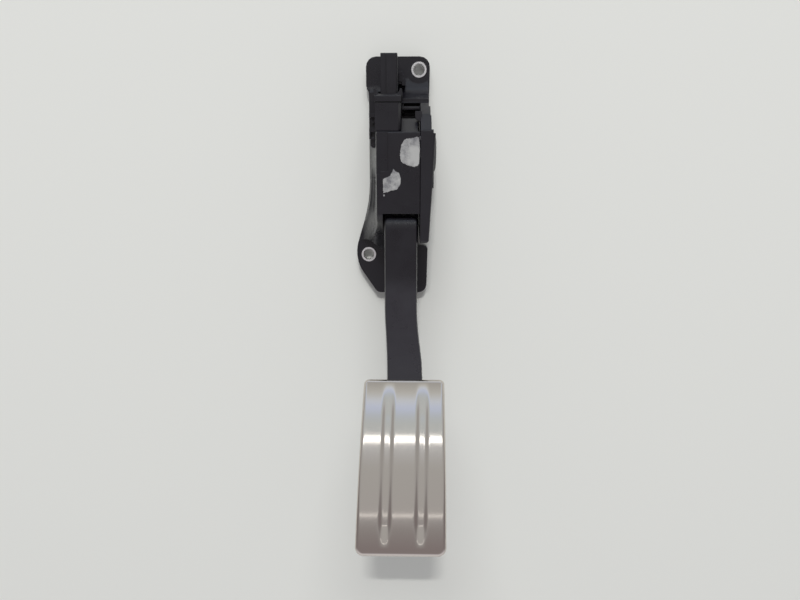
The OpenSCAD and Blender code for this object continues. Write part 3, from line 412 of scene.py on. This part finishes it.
CORNER_TOP, CORNER_LOW = 3.2, 5.0  # the corners' radii
GROOVE_SIDE, GROOVE_DRIFT = 1.35, 0.5  # the grooves lie off the pad's middle by this much, less along it
GROOVE_FLAT = 1.4  # half the width of a groove's floor
GROOVE_TAPER = 0.3  # how much narrower a groove is near its lower end


def smooth_step(t):
    """An even rise from 0 to 1."""
    t = min(1.0, max(0.0, t))
    return t * t * (3 - 2 * t)


def pad_place(t, w):
    """Y and Z of a point w off the pad's face at t along it."""
    a = PAD["half"] * (1 - 2 * t)
    y = -PAD["length"] / 2 + (PAD["r"] + w) * math.sin(a)
    z = (PAD["r"] + w) * math.cos(a) - PAD["r"] * math.cos(PAD["half"])
    c, s = math.cos(PAD["tilt"]), math.sin(PAD["tilt"])
    return PAD["y0"] + y * c + z * s, PAD["z0"] - y * s + z * c


def pad_middle(t):
    """How far the pad's middle has moved across at t, because only its left edge slants."""
    return -(PAD["low"] - PAD["top"]) * t / 2


def pad_corner(t):
    """The radius of the corners nearest to t."""
    return CORNER_TOP if t < 0.5 else CORNER_LOW


def pad_half_width(t, inset):
    """Half the pad's width at t, less in its rounded corners."""
    e, r = min(t, 1 - t) * PAD["arc"], pad_corner(t)
    ends = 0.0 if e >= r else r - math.sqrt(max(0.0, r * r - (r - e) ** 2))
    return (PAD["top"] + (PAD["low"] - PAD["top"]) * t) / 2 - inset - ends


def pad_edge_distance(x, t):
    """How far a point of the face is from the nearest edge."""
    rc = pad_corner(t)
    dx = (PAD["top"] + (PAD["low"] - PAD["top"]) * t) / 2 - abs(x - pad_middle(t))
    dv = min(t, 1 - t) * PAD["arc"]
    if dx >= rc or dv >= rc:
        return min(dx, dv)
    return rc - math.hypot(rc - dx, rc - dv)


def pad_roll(d):
    """How far the folded edge has dropped at a distance d from the edge."""
    e = PAD["edge"]
    return 0.0 if d >= e else e - math.sqrt(max(0.0, e * e - (e - d) ** 2))


def pad_groove(x, t, depth):
    """How deep the two grooves are at a point of the face. They narrow over the last fifth and fade at both ends."""
    wide = 1 - GROOVE_TAPER * smooth_step((t - 0.8) / 0.15)
    half = PAD["groove"] / 2
    d = abs(abs(x - pad_middle(t) - GROOVE_SIDE + GROOVE_DRIFT * t) - PAD["gap"] / 2)
    across = smooth_step((half * wide - d) / (half - GROOVE_FLAT) / wide)
    along = smooth_step((t - 0.02) / 0.22) * smooth_step((0.955 - t) / 0.13)
    return depth * across * along


def crowded(count):
    """Places from 0 to 1 that stand much closer together at both ends, where the sheet is folded."""
    places = []
    for k in range(count):
        wave = math.cos(math.pi * k / (count - 1))
        places.append(0.5 - 0.5 * wave * (0.35 + 0.65 * abs(wave) ** 0.5))
    places.sort()
    places[0], places[-1] = 0.0, 1.0
    return places


class PEDAL_OT_pad_cap(bpy.types.Operator):
    """Presses the pad's steel cap: crowned sheet, two long grooves and a folded rim"""
    bl_idname = "pedal.pad_cap"
    bl_label = "Pad cap"

    def execute(self, context):
        depth = context.scene.pedal_sizes.groove_depth / MM
        rows = crowded(150)
        columns = [2 * place - 1 for place in crowded(90)]
        nr, nc = len(rows), len(columns)
        points, faces = [], []

        def inside(t, inset):
            """Where t lies along the face once the outline has moved in."""
            return inset / PAD["arc"] + (1 - 2 * inset / PAD["arc"]) * t

        def lay(inset, drop, share):
            """Lays one skin of the sheet; share is how much of the fold it takes."""
            start = len(points)
            for t in rows:
                u = inside(t, inset)
                for c in columns:
                    x = pad_middle(t) + c * pad_half_width(t, inset)
                    d = max(0.0, pad_edge_distance(x, u) - inset)
                    y, z = pad_place(u, -drop - pad_roll(d) * share - pad_groove(x, u, depth))
                    points.append((PAD["x"] + x, y, z))
            return start

        lay(0.0, 0.0, 1.0)
        under = lay(PAD["sheet"], PAD["sheet"], 0.6)
        edge = [(0, c) for c in range(nc)] + [(r, nc - 1) for r in range(1, nr)]
        edge += [(nr - 1, c) for c in range(nc - 2, -1, -1)] + [(r, 0) for r in range(nr - 2, 0, -1)]
        # The rim's rings, down its outside, round its lower edge and up its inside: how far in, and how far down
        rims = []
        for inset, levels in ((0.0, (-PAD["edge"], -3.5, -4.9)), (0.12, (-PAD["rim"],)),
                              (PAD["sheet"] - 0.12, (-PAD["rim"],)), (PAD["sheet"], (-4.9, -3.2))):
            for w in levels:
                rims.append(len(points))
                for r, c in edge:
                    t = rows[r]
                    y, z = pad_place(inside(t, inset), w)
                    points.append((PAD["x"] + pad_middle(t) + columns[c] * pad_half_width(t, inset), y, z))
        for r in range(nr - 1):
            for c in range(nc - 1):
                a = r * nc + c
                faces.append((a, a + 1, a + nc + 1, a + nc))
                faces.append((under + a, under + a + nc, under + a + nc + 1, under + a + 1))
        n = len(edge)
        rings = [[r * nc + c for r, c in edge]] + [[s + i for i in range(n)] for s in rims]
        rings.append([under + r * nc + c for r, c in edge])
        for a, b in zip(rings, rings[1:]):
            for i in range(n):
                j = (i + 1) % n
                faces.append((a[i], b[i], b[j], a[j]))
        points = [(x * MM, y * MM, z * MM) for x, y, z in points]
        cap = piece("pad_cap_pressed", points, faces, finish("pad_metal"), "pedal")
        mend = bmesh.new()
        mend.from_mesh(cap.data)
        bmesh.ops.remove_doubles(mend, verts=mend.verts, dist=0.01 * MM)
        bmesh.ops.recalc_face_normals(mend, faces=mend.faces)
        mend.to_mesh(cap.data)
        mend.free()
        cap.data.update()
        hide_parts("pad_cap")
        return {"FINISHED"}


# ---------------------------------------------------------------- springs

POINTS_PER_TURN = 40.0
CLOSED = 0.9  # turns that lie closed at each end
CLOSED_RISE = 1.84  # how far a closed end rises, in wire radii
# Node, outer diameter in mm, which of the sizes its wire has, and turns
SPRINGS = (("outer_spring", 14.0, "outer_wire", 5.0), ("inner_spring", 8.6, "inner_wire", 6.0))


def spring_tree():
    """A wound wire with closed ends, as a Geometry Nodes tree: inputs for diameter, wire, turns and height."""
    tree, given = open_tree("wound_spring", (
        ("Coil Radius", 0.006), ("Wire Radius", 0.0009), ("Turns", 5.0), ("Low", 0.0103), ("High", 0.0371),
        ("Axis X", 0.0), ("Axis Y", 0.0)), "Wire")
    # A line of points, each of which knows its turn
    count = add(tree, "ShaderNodeMath", {1: POINTS_PER_TURN}, {0: given["Turns"]}, operation="MULTIPLY")
    path = add(tree, "GeometryNodeMeshLine", feeds={"Count": count.outputs[0]})
    curve = add(tree, "GeometryNodeMeshToCurve", feeds={"Mesh": path.outputs["Mesh"]})
    index = add(tree, "GeometryNodeInputIndex")
    turn = add(tree, "ShaderNodeMath", {1: POINTS_PER_TURN}, {0: index.outputs[0]}, operation="DIVIDE").outputs[0]
    angle = add(tree, "ShaderNodeMath", {1: -2 * math.pi}, {0: turn}, operation="MULTIPLY").outputs[0]
    cosine = add(tree, "ShaderNodeMath", feeds={0: angle}, operation="COSINE").outputs[0]
    sine = add(tree, "ShaderNodeMath", feeds={0: angle}, operation="SINE").outputs[0]
    across = add(tree, "ShaderNodeMath", feeds={0: cosine, 1: given["Coil Radius"], 2: given["Axis X"]},
                 operation="MULTIPLY_ADD").outputs[0]
    along = add(tree, "ShaderNodeMath", feeds={0: sine, 1: given["Coil Radius"], 2: given["Axis Y"]},
                operation="MULTIPLY_ADD").outputs[0]
    # Its height in three parts, each held at its ends outside its own turns: closed, open and closed again
    lead = add(tree, "ShaderNodeMath", {1: CLOSED}, {0: given["Turns"]}, operation="SUBTRACT").outputs[0]
    rise = add(tree, "ShaderNodeMath", {1: CLOSED_RISE}, {0: given["Wire Radius"]}, operation="MULTIPLY").outputs[0]
    first = add(tree, "ShaderNodeMath", feeds={0: given["Low"], 1: rise}, operation="ADD").outputs[0]
    last = add(tree, "ShaderNodeMath", feeds={0: given["High"], 1: rise}, operation="SUBTRACT").outputs[0]
    low_end = add(tree, "ShaderNodeMapRange", {"From Max": CLOSED},
                  {"Value": turn, "To Min": given["Low"], "To Max": first}).outputs[0]
    middle = add(tree, "ShaderNodeMapRange", {"From Min": CLOSED},
                 {"Value": turn, "From Max": lead, "To Min": first, "To Max": last}).outputs[0]
    top_end = add(tree, "ShaderNodeMapRange", feeds={
        "Value": turn, "From Min": lead, "From Max": given["Turns"],
        "To Min": last, "To Max": given["High"]}).outputs[0]
    height = low_end
    for part, how in ((middle, "ADD"), (first, "SUBTRACT"), (top_end, "ADD"), (last, "SUBTRACT")):
        height = add(tree, "ShaderNodeMath", feeds={0: height, 1: part}, operation=how).outputs[0]
    spot = add(tree, "ShaderNodeCombineXYZ", feeds={"X": across, "Y": along, "Z": height})
    laid = add(tree, "GeometryNodeSetPosition",
               feeds={"Geometry": curve.outputs["Curve"], "Position": spot.outputs[0]})
    section = add(tree, "GeometryNodeCurvePrimitiveCircle", {"Resolution": 14}, {"Radius": given["Wire Radius"]})
    swept = add(tree, "GeometryNodeCurveToMesh", {"Fill Caps": True},
                {"Curve": laid.outputs["Geometry"], "Profile Curve": section.outputs["Curve"]})
    close_tree(tree, swept.outputs["Mesh"], given["Wire"])
    return tree


class PEDAL_OT_springs(bpy.types.Operator):
    """Winds the two return springs, one inside the other"""
    bl_idname = "pedal.springs"
    bl_label = "Return springs"

    def execute(self, context):
        tree = spring_tree()
        for name, diameter, size, turns in SPRINGS:
            wire = getattr(context.scene.pedal_sizes, size)
            low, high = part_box(name)
            made = run_tree(tree, name + "_wound", {
                "Coil Radius": diameter * MM / 2 - wire / 2, "Wire Radius": wire / 2, "Turns": turns,
                "Low": low.z + wire / 2, "High": high.z - wire / 2,
                "Axis X": (low.x + high.x) / 2, "Axis Y": (low.y + high.y) / 2, "Wire": finish("spring_steel")}, None)
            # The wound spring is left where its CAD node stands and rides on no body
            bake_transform(made)
            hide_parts(name)
        return {"FINISHED"}


# ---------------------------------------------------------------- screws

def screw_tree():
    """Screws set on points, as a Geometry Nodes tree: inputs for the head, the shank, the thread and the hexagon
    recess. Each point carries its own turn, and every screw's head points along its turned +Z."""
    tree, given = open_tree("driven_screws", (
        ("Head Radius", 0.003), ("Head Height", 0.0016), ("Shank Radius", 0.0012), ("Length", 0.006),
        ("Pitch", 0.0009), ("Recess", 0.0013), ("Recess Depth", 0.001)), "Metal")
    sizes = {}
    for name, whole, share in (
            ("wall", "Head Height", 0.7), ("wall middle", "Head Height", 0.35), ("crown", "Head Height", 0.3),
            ("crown edge", "Head Radius", 0.86), ("hole", "Recess Depth", 2.0), ("core", "Shank Radius", 0.88),
            ("shank middle", "Length", -0.5), ("rolled", "Shank Radius", 0.85), ("tooth", "Shank Radius", 0.15),
            ("thread", "Length", 0.9), ("thread end", "Length", -0.95)):
        sizes[name] = add(tree, "ShaderNodeMath", {1: share}, {0: given[whole]}, operation="MULTIPLY").outputs[0]
    wall = add(tree, "GeometryNodeMeshCylinder", {"Vertices": 40},
               {"Radius": given["Head Radius"], "Depth": sizes["wall"]})
    crown = add(tree, "GeometryNodeMeshCone", {"Vertices": 40}, {
        "Radius Bottom": given["Head Radius"], "Radius Top": sizes["crown edge"], "Depth": sizes["crown"]})
    hole = add(tree, "GeometryNodeMeshCylinder", {"Vertices": 6}, {"Radius": given["Recess"], "Depth": sizes["hole"]})
    shank = add(tree, "GeometryNodeMeshCylinder", {"Vertices": 24},
                {"Radius": sizes["core"], "Depth": given["Length"]})
    turns = add(tree, "ShaderNodeMath", feeds={0: given["Length"], 1: given["Pitch"]}, operation="DIVIDE")
    helix = add(tree, "GeometryNodeCurveSpiral", {"Resolution": 20}, {
        "Rotations": turns.outputs[0], "Start Radius": sizes["rolled"], "End Radius": sizes["rolled"],
        "Height": sizes["thread"]})
    tooth = add(tree, "GeometryNodeCurvePrimitiveCircle", {"Resolution": 3}, {"Radius": sizes["tooth"]})
    thread = add(tree, "GeometryNodeCurveToMesh", {"Fill Caps": True},
                 {"Curve": helix.outputs["Curve"], "Profile Curve": tooth.outputs["Curve"]})
    # Each shape goes to its height, with zero at the seat of the head
    placed = []
    for shape, height in ((wall, sizes["wall middle"]), (crown, sizes["wall"]), (hole, given["Head Height"]),
                          (shank, sizes["shank middle"]), (thread, sizes["thread end"])):
        up = add(tree, "ShaderNodeCombineXYZ", feeds={"Z": height})
        placed.append(add(tree, "GeometryNodeTransform", feeds={
            "Geometry": shape.outputs["Mesh"], "Translation": up.outputs[0]}).outputs[0])
    wall, crown, hole, shank, thread = placed
    head = add(tree, "GeometryNodeMeshBoolean", operation="UNION")
    for shape in (wall, crown):
        tree.links.new(shape, head.inputs["Mesh 2"])
    cut = add(tree, "GeometryNodeMeshBoolean", feeds={"Mesh 1": head.outputs["Mesh"], "Mesh 2": hole},
              operation="DIFFERENCE")
    screw = add(tree, "GeometryNodeJoinGeometry")
    for shape in (cut.outputs["Mesh"], shank, thread):
        tree.links.new(shape, screw.inputs["Geometry"])
    turn = add(tree, "GeometryNodeInputNamedAttribute", {"Name": "turn"}, data_type="FLOAT_VECTOR")
    driven = add(tree, "GeometryNodeInstanceOnPoints", feeds={
        "Points": given["Geometry"], "Instance": screw.outputs["Geometry"], "Rotation": turn.outputs[0]})
    close_tree(tree, driven.outputs["Instances"], given["Metal"])
    return tree


def screws_of(node, toward):
    """Every screw of a CAD node: its middle, its axis, how far it reaches back and forward along that, and its
    points. The screws are the islands of the merged mesh, and toward gives the axis, towards the head."""
    mend = bmesh.new()
    mend.from_mesh(NODES[node].data)
    bmesh.ops.remove_doubles(mend, verts=mend.verts, dist=MERGE)
    seen, found = set(), []
    for start in mend.verts:
        if start in seen:
            continue
        seen.add(start)
        island, line = [start], [start]
        while line:
            for edge in line.pop().link_edges:
                for v in edge.verts:
                    if v not in seen:
                        seen.add(v)
                        island.append(v)
                        line.append(v)
        found.append([v.co.copy() for v in island])
    mend.free()
    screws = []
    for island in found:
        centre = sum(island, Vector()) / len(island)
        axis = toward(centre)
        along = [(p - centre).dot(axis) for p in island]
        screws.append((centre, axis, min(along), max(along), island))
    return screws


def pad_screw_axis(centre):
    """The direction away from the pad's face at a pad screw, whose head is on the far side of the carrier."""
    y, z = centre.y / MM, centre.z / MM
    t = min((k / 60 for k in range(61)), key=lambda t: math.dist(pad_place(t, -6), (y, z)))
    (y0, z0), (y1, z1) = pad_place(t, 0), pad_place(t, -1)
    return Vector((0.0, y1 - y0, z1 - z0)).normalized()


def cover_screw_axis(centre):
    """The cover's screws are all driven from the right, wherever they are."""
    return Vector((1.0, 0.0, 0.0))


# Node, piece, head height, head radius, shank radius and pitch in mm, and which way the head is
SCREWS = (("pad_screws", "pad_screws_driven", 1.6, 3.0, 1.2, 0.9, pad_screw_axis),
          ("cover_screws", "cover_screws_driven", 1.8, 2.9, 1.5, 1.1, cover_screw_axis))
RECESS_MM, RECESS_DEPTH_MM = 1.3, 1.0


class PEDAL_OT_screws(bpy.types.Operator):
    """Sets the four screws behind the pad and the screws of the side cover"""
    bl_idname = "pedal.screws"
    bl_label = "Screws"

    def execute(self, context):
        tree = screw_tree()
        for node, name, head_height, head_radius, shank_radius, pitch, toward in SCREWS:
            spots, turns, lengths = [], [], []
            for centre, axis, low, high, island in screws_of(node, toward):
                spot = centre + axis * (high - head_height * MM)
                # Only the head is this wide, so the middle of its points is on the axis
                wide = [p for p in island
                        if ((p - centre) - axis * (p - centre).dot(axis)).length > head_radius * MM * 0.9]
                if wide:
                    middle = Vector([(min(p[k] for p in wide) + max(p[k] for p in wide)) / 2 for k in range(3)])
                    spot = spot + (middle - centre) - axis * (middle - centre).dot(axis)
                spots.append(tuple(spot))
                turns.extend(axis.to_track_quat("Z", "Y").to_euler())
                lengths.append(high - low)
            base = bpy.data.meshes.new(name + "_places")
            base.from_pydata(spots, [], [])
            base.attributes.new("turn", "FLOAT_VECTOR", "POINT").data.foreach_set("vector", turns)
            made = run_tree(tree, name, {
                "Head Radius": head_radius * MM, "Head Height": head_height * MM, "Shank Radius": shank_radius * MM,
                "Length": min(lengths) - head_height * MM, "Pitch": pitch * MM, "Recess": RECESS_MM * MM,
                "Recess Depth": RECESS_DEPTH_MM * MM, "Metal": finish(SLOTS[node])}, NODES[node]["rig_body"], base)
            made.data.polygons.foreach_set("use_smooth", [False] * len(made.data.polygons))
            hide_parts(node)
        return {"FINISHED"}


# ---------------------------------------------------------------- torn label remains

# The outlines of the scraps on the housing's front, in mm
SCRAPS = (
    ((7.93, 13.08), (6.08, 10.1), (5.15, 4.17), (6.08, 0.6), (9.18, -1.23), (13.44, -2.31), (15.95, -1.52),
     (16.6, 0.59), (16.7, 6.54), (16.75, 9.53), (16.43, 14.24), (15.22, 14.69), (12.5, 13.91), (9.72, 13.63)),
    ((-4.72, -9.36), (-4.59, -17.56), (-0.1, -16.05), (3.61, -15.24), (5.5, -12.12), (5.62, -8.44), (4.85, -6.03),
     (2.69, -4.82), (1.29, -3.34), (0.87, -4.82), (-0.36, -7.23), (-2.54, -8.44)),
    ((-4.59, -18.26), (-3.53, -18.38), (-3.65, -19.31), (-4.48, -19.42)),
)
TEAR_STEP_MM, TEAR_MM = 0.35, 0.22  # a torn edge has a point this often, which strays by this much
GLUE_MM, PAPER_MM = 0.02, 0.12


class PEDAL_OT_label_remains(bpy.types.Operator):
    """Leaves the torn, blank backing paper of two pulled-off labels on the housing's front"""
    bl_idname = "pedal.label_remains"
    bl_label = "Label remains"

    def execute(self, context):
        rng = random.Random(11)
        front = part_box("housing")[1].z
        paper = torn_paper()
        for number, outline in enumerate(SCRAPS):
            loop = []
            for a, b in zip(outline, outline[1:] + outline[:1]):
                steps = max(1, int(math.dist(a, b) / TEAR_STEP_MM))
                nx, ny = b[1] - a[1], a[0] - b[0]
                n = math.hypot(nx, ny)
                for k in range(steps):
                    t = k / steps
                    stray = 0.0 if k == 0 else rng.uniform(-TEAR_MM, TEAR_MM)
                    loop.append((a[0] + (b[0] - a[0]) * t + nx / n * stray,
                                 a[1] + (b[1] - a[1]) * t + ny / n * stray))
            # The outline is cut into triangles once, for the underside and the face; the torn edge joins the two
            levels = (front + GLUE_MM * MM, front + (GLUE_MM + PAPER_MM) * MM)
            points = [(x * MM, y * MM, z) for z in levels for x, y in loop]
            count = len(loop)
            sheet = bmesh.new()
            sheet.faces.new([sheet.verts.new(point) for point in points[:count]])
            bmesh.ops.triangulate(sheet, faces=sheet.faces)
            sheet.verts.index_update()
            flat = [tuple(v.index for v in face.verts) for face in sheet.faces]
            sheet.free()
            faces = [face[::-1] for face in flat] + [tuple(i + count for i in face) for face in flat]
            faces += [(i, (i + 1) % count, (i + 1) % count + count, i + count) for i in range(count)]
            if sum(a[0] * b[1] - b[0] * a[1] for a, b in zip(loop, loop[1:] + loop[:1])) < 0:
                # This outline runs clockwise, so every face is turned over, from the same first corner
                faces = [face[:1] + face[:0:-1] for face in faces]
            piece(f"label_remains_{number + 1}", points, faces, paper, "base", smooth=False)
        return {"FINISHED"}


# ---------------------------------------------------------------- finishes of the carried-over nodes

class PEDAL_OT_node_finishes(bpy.types.Operator):
    """Gives every carried-over CAD node the procedural finish of its material slot"""
    bl_idname = "pedal.node_finishes"
    bl_label = "Frame finishes"

    def execute(self, context):
        for name, obj in NODES.items():
            material = finish(SLOTS[name])
            if not obj.material_slots:
                obj.data.materials.append(material)
            for place in obj.material_slots:
                place.material = material
        return {"FINISHED"}


class PEDAL_OT_mouldings(bpy.types.Operator):
    """Smooths the moulded, rolled, turned and formed pieces, from the housing to the stops"""
    bl_idname = "pedal.mouldings"
    bl_label = "Moulded pieces"

    def execute(self, context):
        dressed("housing", "housing_moulded", "black_plastic")
        dressed("side_cover", "side_cover_moulded", "cover_plastic", 32)
        dressed("sensor_body", "sensor_body_moulded", "sensor_plastic")
        dressed("sensor_lid", "sensor_lid_moulded", "sensor_plastic")
        dressed("pedal_arm", "pedal_arm_moulded", "arm_plastic", 34)
        dressed("pad_carrier", "pad_carrier_moulded", "black_plastic")
        for name in ("upper_bushing", "lower_bushing"):
            dressed(name, name + "_rolled", "bushing_steel")
        dressed("pivot_pin", "pivot_pin_turned", "steel")
        for name in ("spring_seat", "spring_cup", "rest_stop", "full_stop"):
            dressed(name, name + "_formed", SLOTS[name])
        return {"FINISHED"}


# ---------------------------------------------------------------- stage

AIM = Vector((0.008, -0.155, 0.08))  # a place at the pad, at which every lamp points

# The surroundings that the surfaces mirror, as bands along X: degrees from overhead towards +Y, and their light
ROOM = (
    (-90, (0.70, 0.70, 0.72)), (90, (0.60, 0.62, 0.66)), (-50, (0.78, 0.77, 0.80)), (-25, (0.68, 0.66, 0.70)),
    (-9, (0.34, 0.31, 0.32)), (0, (0.296, 0.261, 0.270)), (7.3, (0.36, 0.343, 0.35)), (10.7, (0.44, 0.43, 0.443)),
    (14, (0.52, 0.515, 0.52)), (30, (0.53, 0.534, 0.535)), (34, (0.58, 0.59, 0.61)), (38, (0.66, 0.69, 0.72)),
    (47, (0.64, 0.70, 0.73)), (50, (0.64, 0.72, 0.82)), (53, (0.70, 0.80, 1.06)), (56, (0.78, 0.86, 0.98)),
    (59, (0.67, 0.69, 0.68)), (64, (0.47, 0.47, 0.46)), (67, (0.60, 0.64, 0.70)), (72, (0.74, 0.82, 0.96)),
    (80, (0.74, 0.82, 0.96)), (86, (0.70, 0.72, 0.76)),
)

# The camera is 409 mm over the table and leans 11 degrees towards the pad
CAMERA_PLACE = (0.01236282, -0.00981586, 0.409)
CAMERA_TURN = ((0.99980775, -0.00384541, 0.01922707), (0.0, 0.98058068, 0.19611614),
               (-0.01960784, -0.19607843, 0.98039216))


def lay_table(scene):
    """A table top far wider than the view."""
    far = 3
    mesh = bpy.data.meshes.new("table_top")
    mesh.from_pydata([(-far, -far, 0), (far, -far, 0), (far, far, 0), (-far, far, 0)], [], [(0, 1, 2, 3)])
    table = bpy.data.objects.new("table_top", mesh)
    scene.collection.objects.link(table)
    material, tree = blank("table_laminate_matt")
    # Matt laminate: one pale colour, almost no gloss, so only the object's shadow marks it
    skin = add(tree, "ShaderNodeBsdfPrincipled", {
        "Base Color": tuple(scene.pedal_colours.floor), "Roughness": 0.85, "Specular IOR Level": 0.2})
    add(tree, "ShaderNodeOutputMaterial", feeds={"Surface": skin.outputs["BSDF"]})
    mesh.materials.append(material)


def hang_lamp(scene, name, spot, width, depth, watts, tint):
    """A rectangular lamp that points at the pad."""
    light = bpy.data.lights.new(name, "AREA")
    light.shape = "RECTANGLE"
    light.size, light.size_y, light.energy, light.color = width, depth, watts, tint
    obj = bpy.data.objects.new(name, light)
    scene.collection.objects.link(obj)
    way = AIM - spot
    obj.matrix_world = Matrix.Translation(spot) @ way.to_track_quat("-Z", "Y").to_matrix().to_4x4()
    return obj


def light_room(scene):
    """The world: bands of light along X, a little dimmer to the sides, and a plain pale background."""
    world = bpy.data.worlds.new("studio")
    scene.world = world
    world.use_nodes = True
    tree = world.node_tree
    tree.nodes.clear()
    place = add(tree, "ShaderNodeTexCoord")
    split = add(tree, "ShaderNodeSeparateXYZ", feeds={"Vector": place.outputs["Generated"]})
    along = add(tree, "ShaderNodeMath", {1: 0.5, 2: 0.5}, {0: split.outputs["Y"]}, operation="MULTIPLY_ADD")
    room = add(tree, "ShaderNodeValToRGB", feeds={"Fac": along.outputs[0]})
    stops = room.color_ramp.elements
    for number, (angle, colour) in enumerate(ROOM):
        spot = 0.5 + math.sin(math.radians(angle)) / 2
        stop = stops[number] if number < 2 else stops.new(spot)
        stop.position = spot
        stop.color = colour + (1.0,)
    aside = add(tree, "ShaderNodeMath", {1: 2.0}, {0: split.outputs["X"]}, operation="POWER")
    dim = add(tree, "ShaderNodeMapRange", {"To Min": 1.0, "To Max": 0.8}, {"Value": aside.outputs[0]})
    ray = add(tree, "ShaderNodeLightPath").outputs
    # What the surfaces mirror is the room; what it lends as soft light is less, because the lamps give that
    lent = add(tree, "ShaderNodeMapRange", {"To Min": 1.0, "To Max": 0.71}, {"Value": ray["Is Diffuse Ray"]})
    power = add(tree, "ShaderNodeMath", feeds={0: dim.outputs[0], 1: lent.outputs[0]}, operation="MULTIPLY")
    sky = add(tree, "ShaderNodeBackground", feeds={"Color": room.outputs["Color"], "Strength": power.outputs[0]})
    pale = add(tree, "ShaderNodeBackground", {"Color": linear("#e9eaea"), "Strength": 1.0})
    both = add(tree, "ShaderNodeMixShader",
               feeds={0: ray["Is Camera Ray"], 1: sky.outputs[0], 2: pale.outputs[0]})
    add(tree, "ShaderNodeOutputWorld", feeds={"Surface": both.outputs[0]})


class PEDAL_OT_stage(bpy.types.Operator):
    """Sets the pale table, the soft lamps and the camera"""
    bl_idname = "pedal.stage"
    bl_label = "Stage"

    def execute(self, context):
        scene = context.scene
        lay_table(scene)
        # A compact lamp gives the crisp lower edge of the pad's shadow, and a broad one behind it the soft shadows
        # round the arm; neither is seen in what the surfaces mirror
        for name, spot, width, depth, watts, tint in (
                ("key_lamp", Vector((0.0, 3.5, 4.4)), 0.54, 0.1, 118.0, (1.0, 0.99, 0.98)),
                ("window_lamp", Vector((0.0, 4.6, 3.6)), 4.0, 2.6, 196.0, (0.98, 0.99, 1.0))):
            hang_lamp(scene, name, spot, width, depth, watts, tint).visible_glossy = False
        # Two long strips are there only as the mirror images that the pad's crowned face shows
        for name, angle, depth, watts in (("bright_strip", 40.6, 0.052, 0.55), ("weak_strip", 10.4, 0.02, 0.064)):
            lean = math.radians(angle)
            spot = AIM + Vector((0.0, math.sin(lean), math.cos(lean))) * 1.3
            hang_lamp(scene, name, spot, 1.2, depth, watts, (1.0, 0.99, 0.97)).visible_diffuse = False
        light_room(scene)
        camera = bpy.data.cameras.new("photo_camera")
        camera.sensor_width, camera.lens, camera.clip_start = 36.0, 27.0, 0.01
        obj = bpy.data.objects.new("photo_camera", camera)
        scene.collection.objects.link(obj)
        obj.matrix_world = Matrix.Translation(CAMERA_PLACE) @ Matrix(CAMERA_TURN).to_4x4()
        scene.camera = obj
        scene.view_settings.view_transform = "Standard"
        return {"FINISHED"}


# ---------------------------------------------------------------- panel and registration

STEPS = ("node_finishes", "mouldings", "pad_cap", "springs", "screws", "label_remains", "stage")


class PEDAL_PT_panel(bpy.types.Panel):
    """Lists the sizes, the colours and the pieces"""
    bl_idname = "PEDAL_PT_panel"
    bl_label = "Accelerator Pedal"
    bl_space_type = "VIEW_3D"
    bl_region_type = "UI"
    bl_category = "Pedal"

    def draw(self, context):
        for group in (context.scene.pedal_sizes, context.scene.pedal_colours):
            box = self.layout.box()
            for name in group.bl_rna.properties.keys():
                if name not in ("rna_type", "name"):
                    box.prop(group, name)
        for step in STEPS:
            self.layout.operator("pedal." + step)


CLASSES = (PedalSizes, PedalColours, PEDAL_OT_node_finishes, PEDAL_OT_mouldings, PEDAL_OT_pad_cap, PEDAL_OT_springs,
           PEDAL_OT_screws, PEDAL_OT_label_remains, PEDAL_OT_stage, PEDAL_PT_panel)


def register():
    for each in CLASSES:
        bpy.utils.register_class(each)
    bpy.types.Scene.pedal_sizes = bpy.props.PointerProperty(type=PedalSizes)
    bpy.types.Scene.pedal_colours = bpy.props.PointerProperty(type=PedalColours)


def unregister():
    del bpy.types.Scene.pedal_colours
    del bpy.types.Scene.pedal_sizes
    for each in reversed(CLASSES):
        bpy.utils.unregister_class(each)


def main():
    register()
    for step in STEPS:
        getattr(bpy.ops.pedal, step)()


if __name__ == "__main__":
    main()
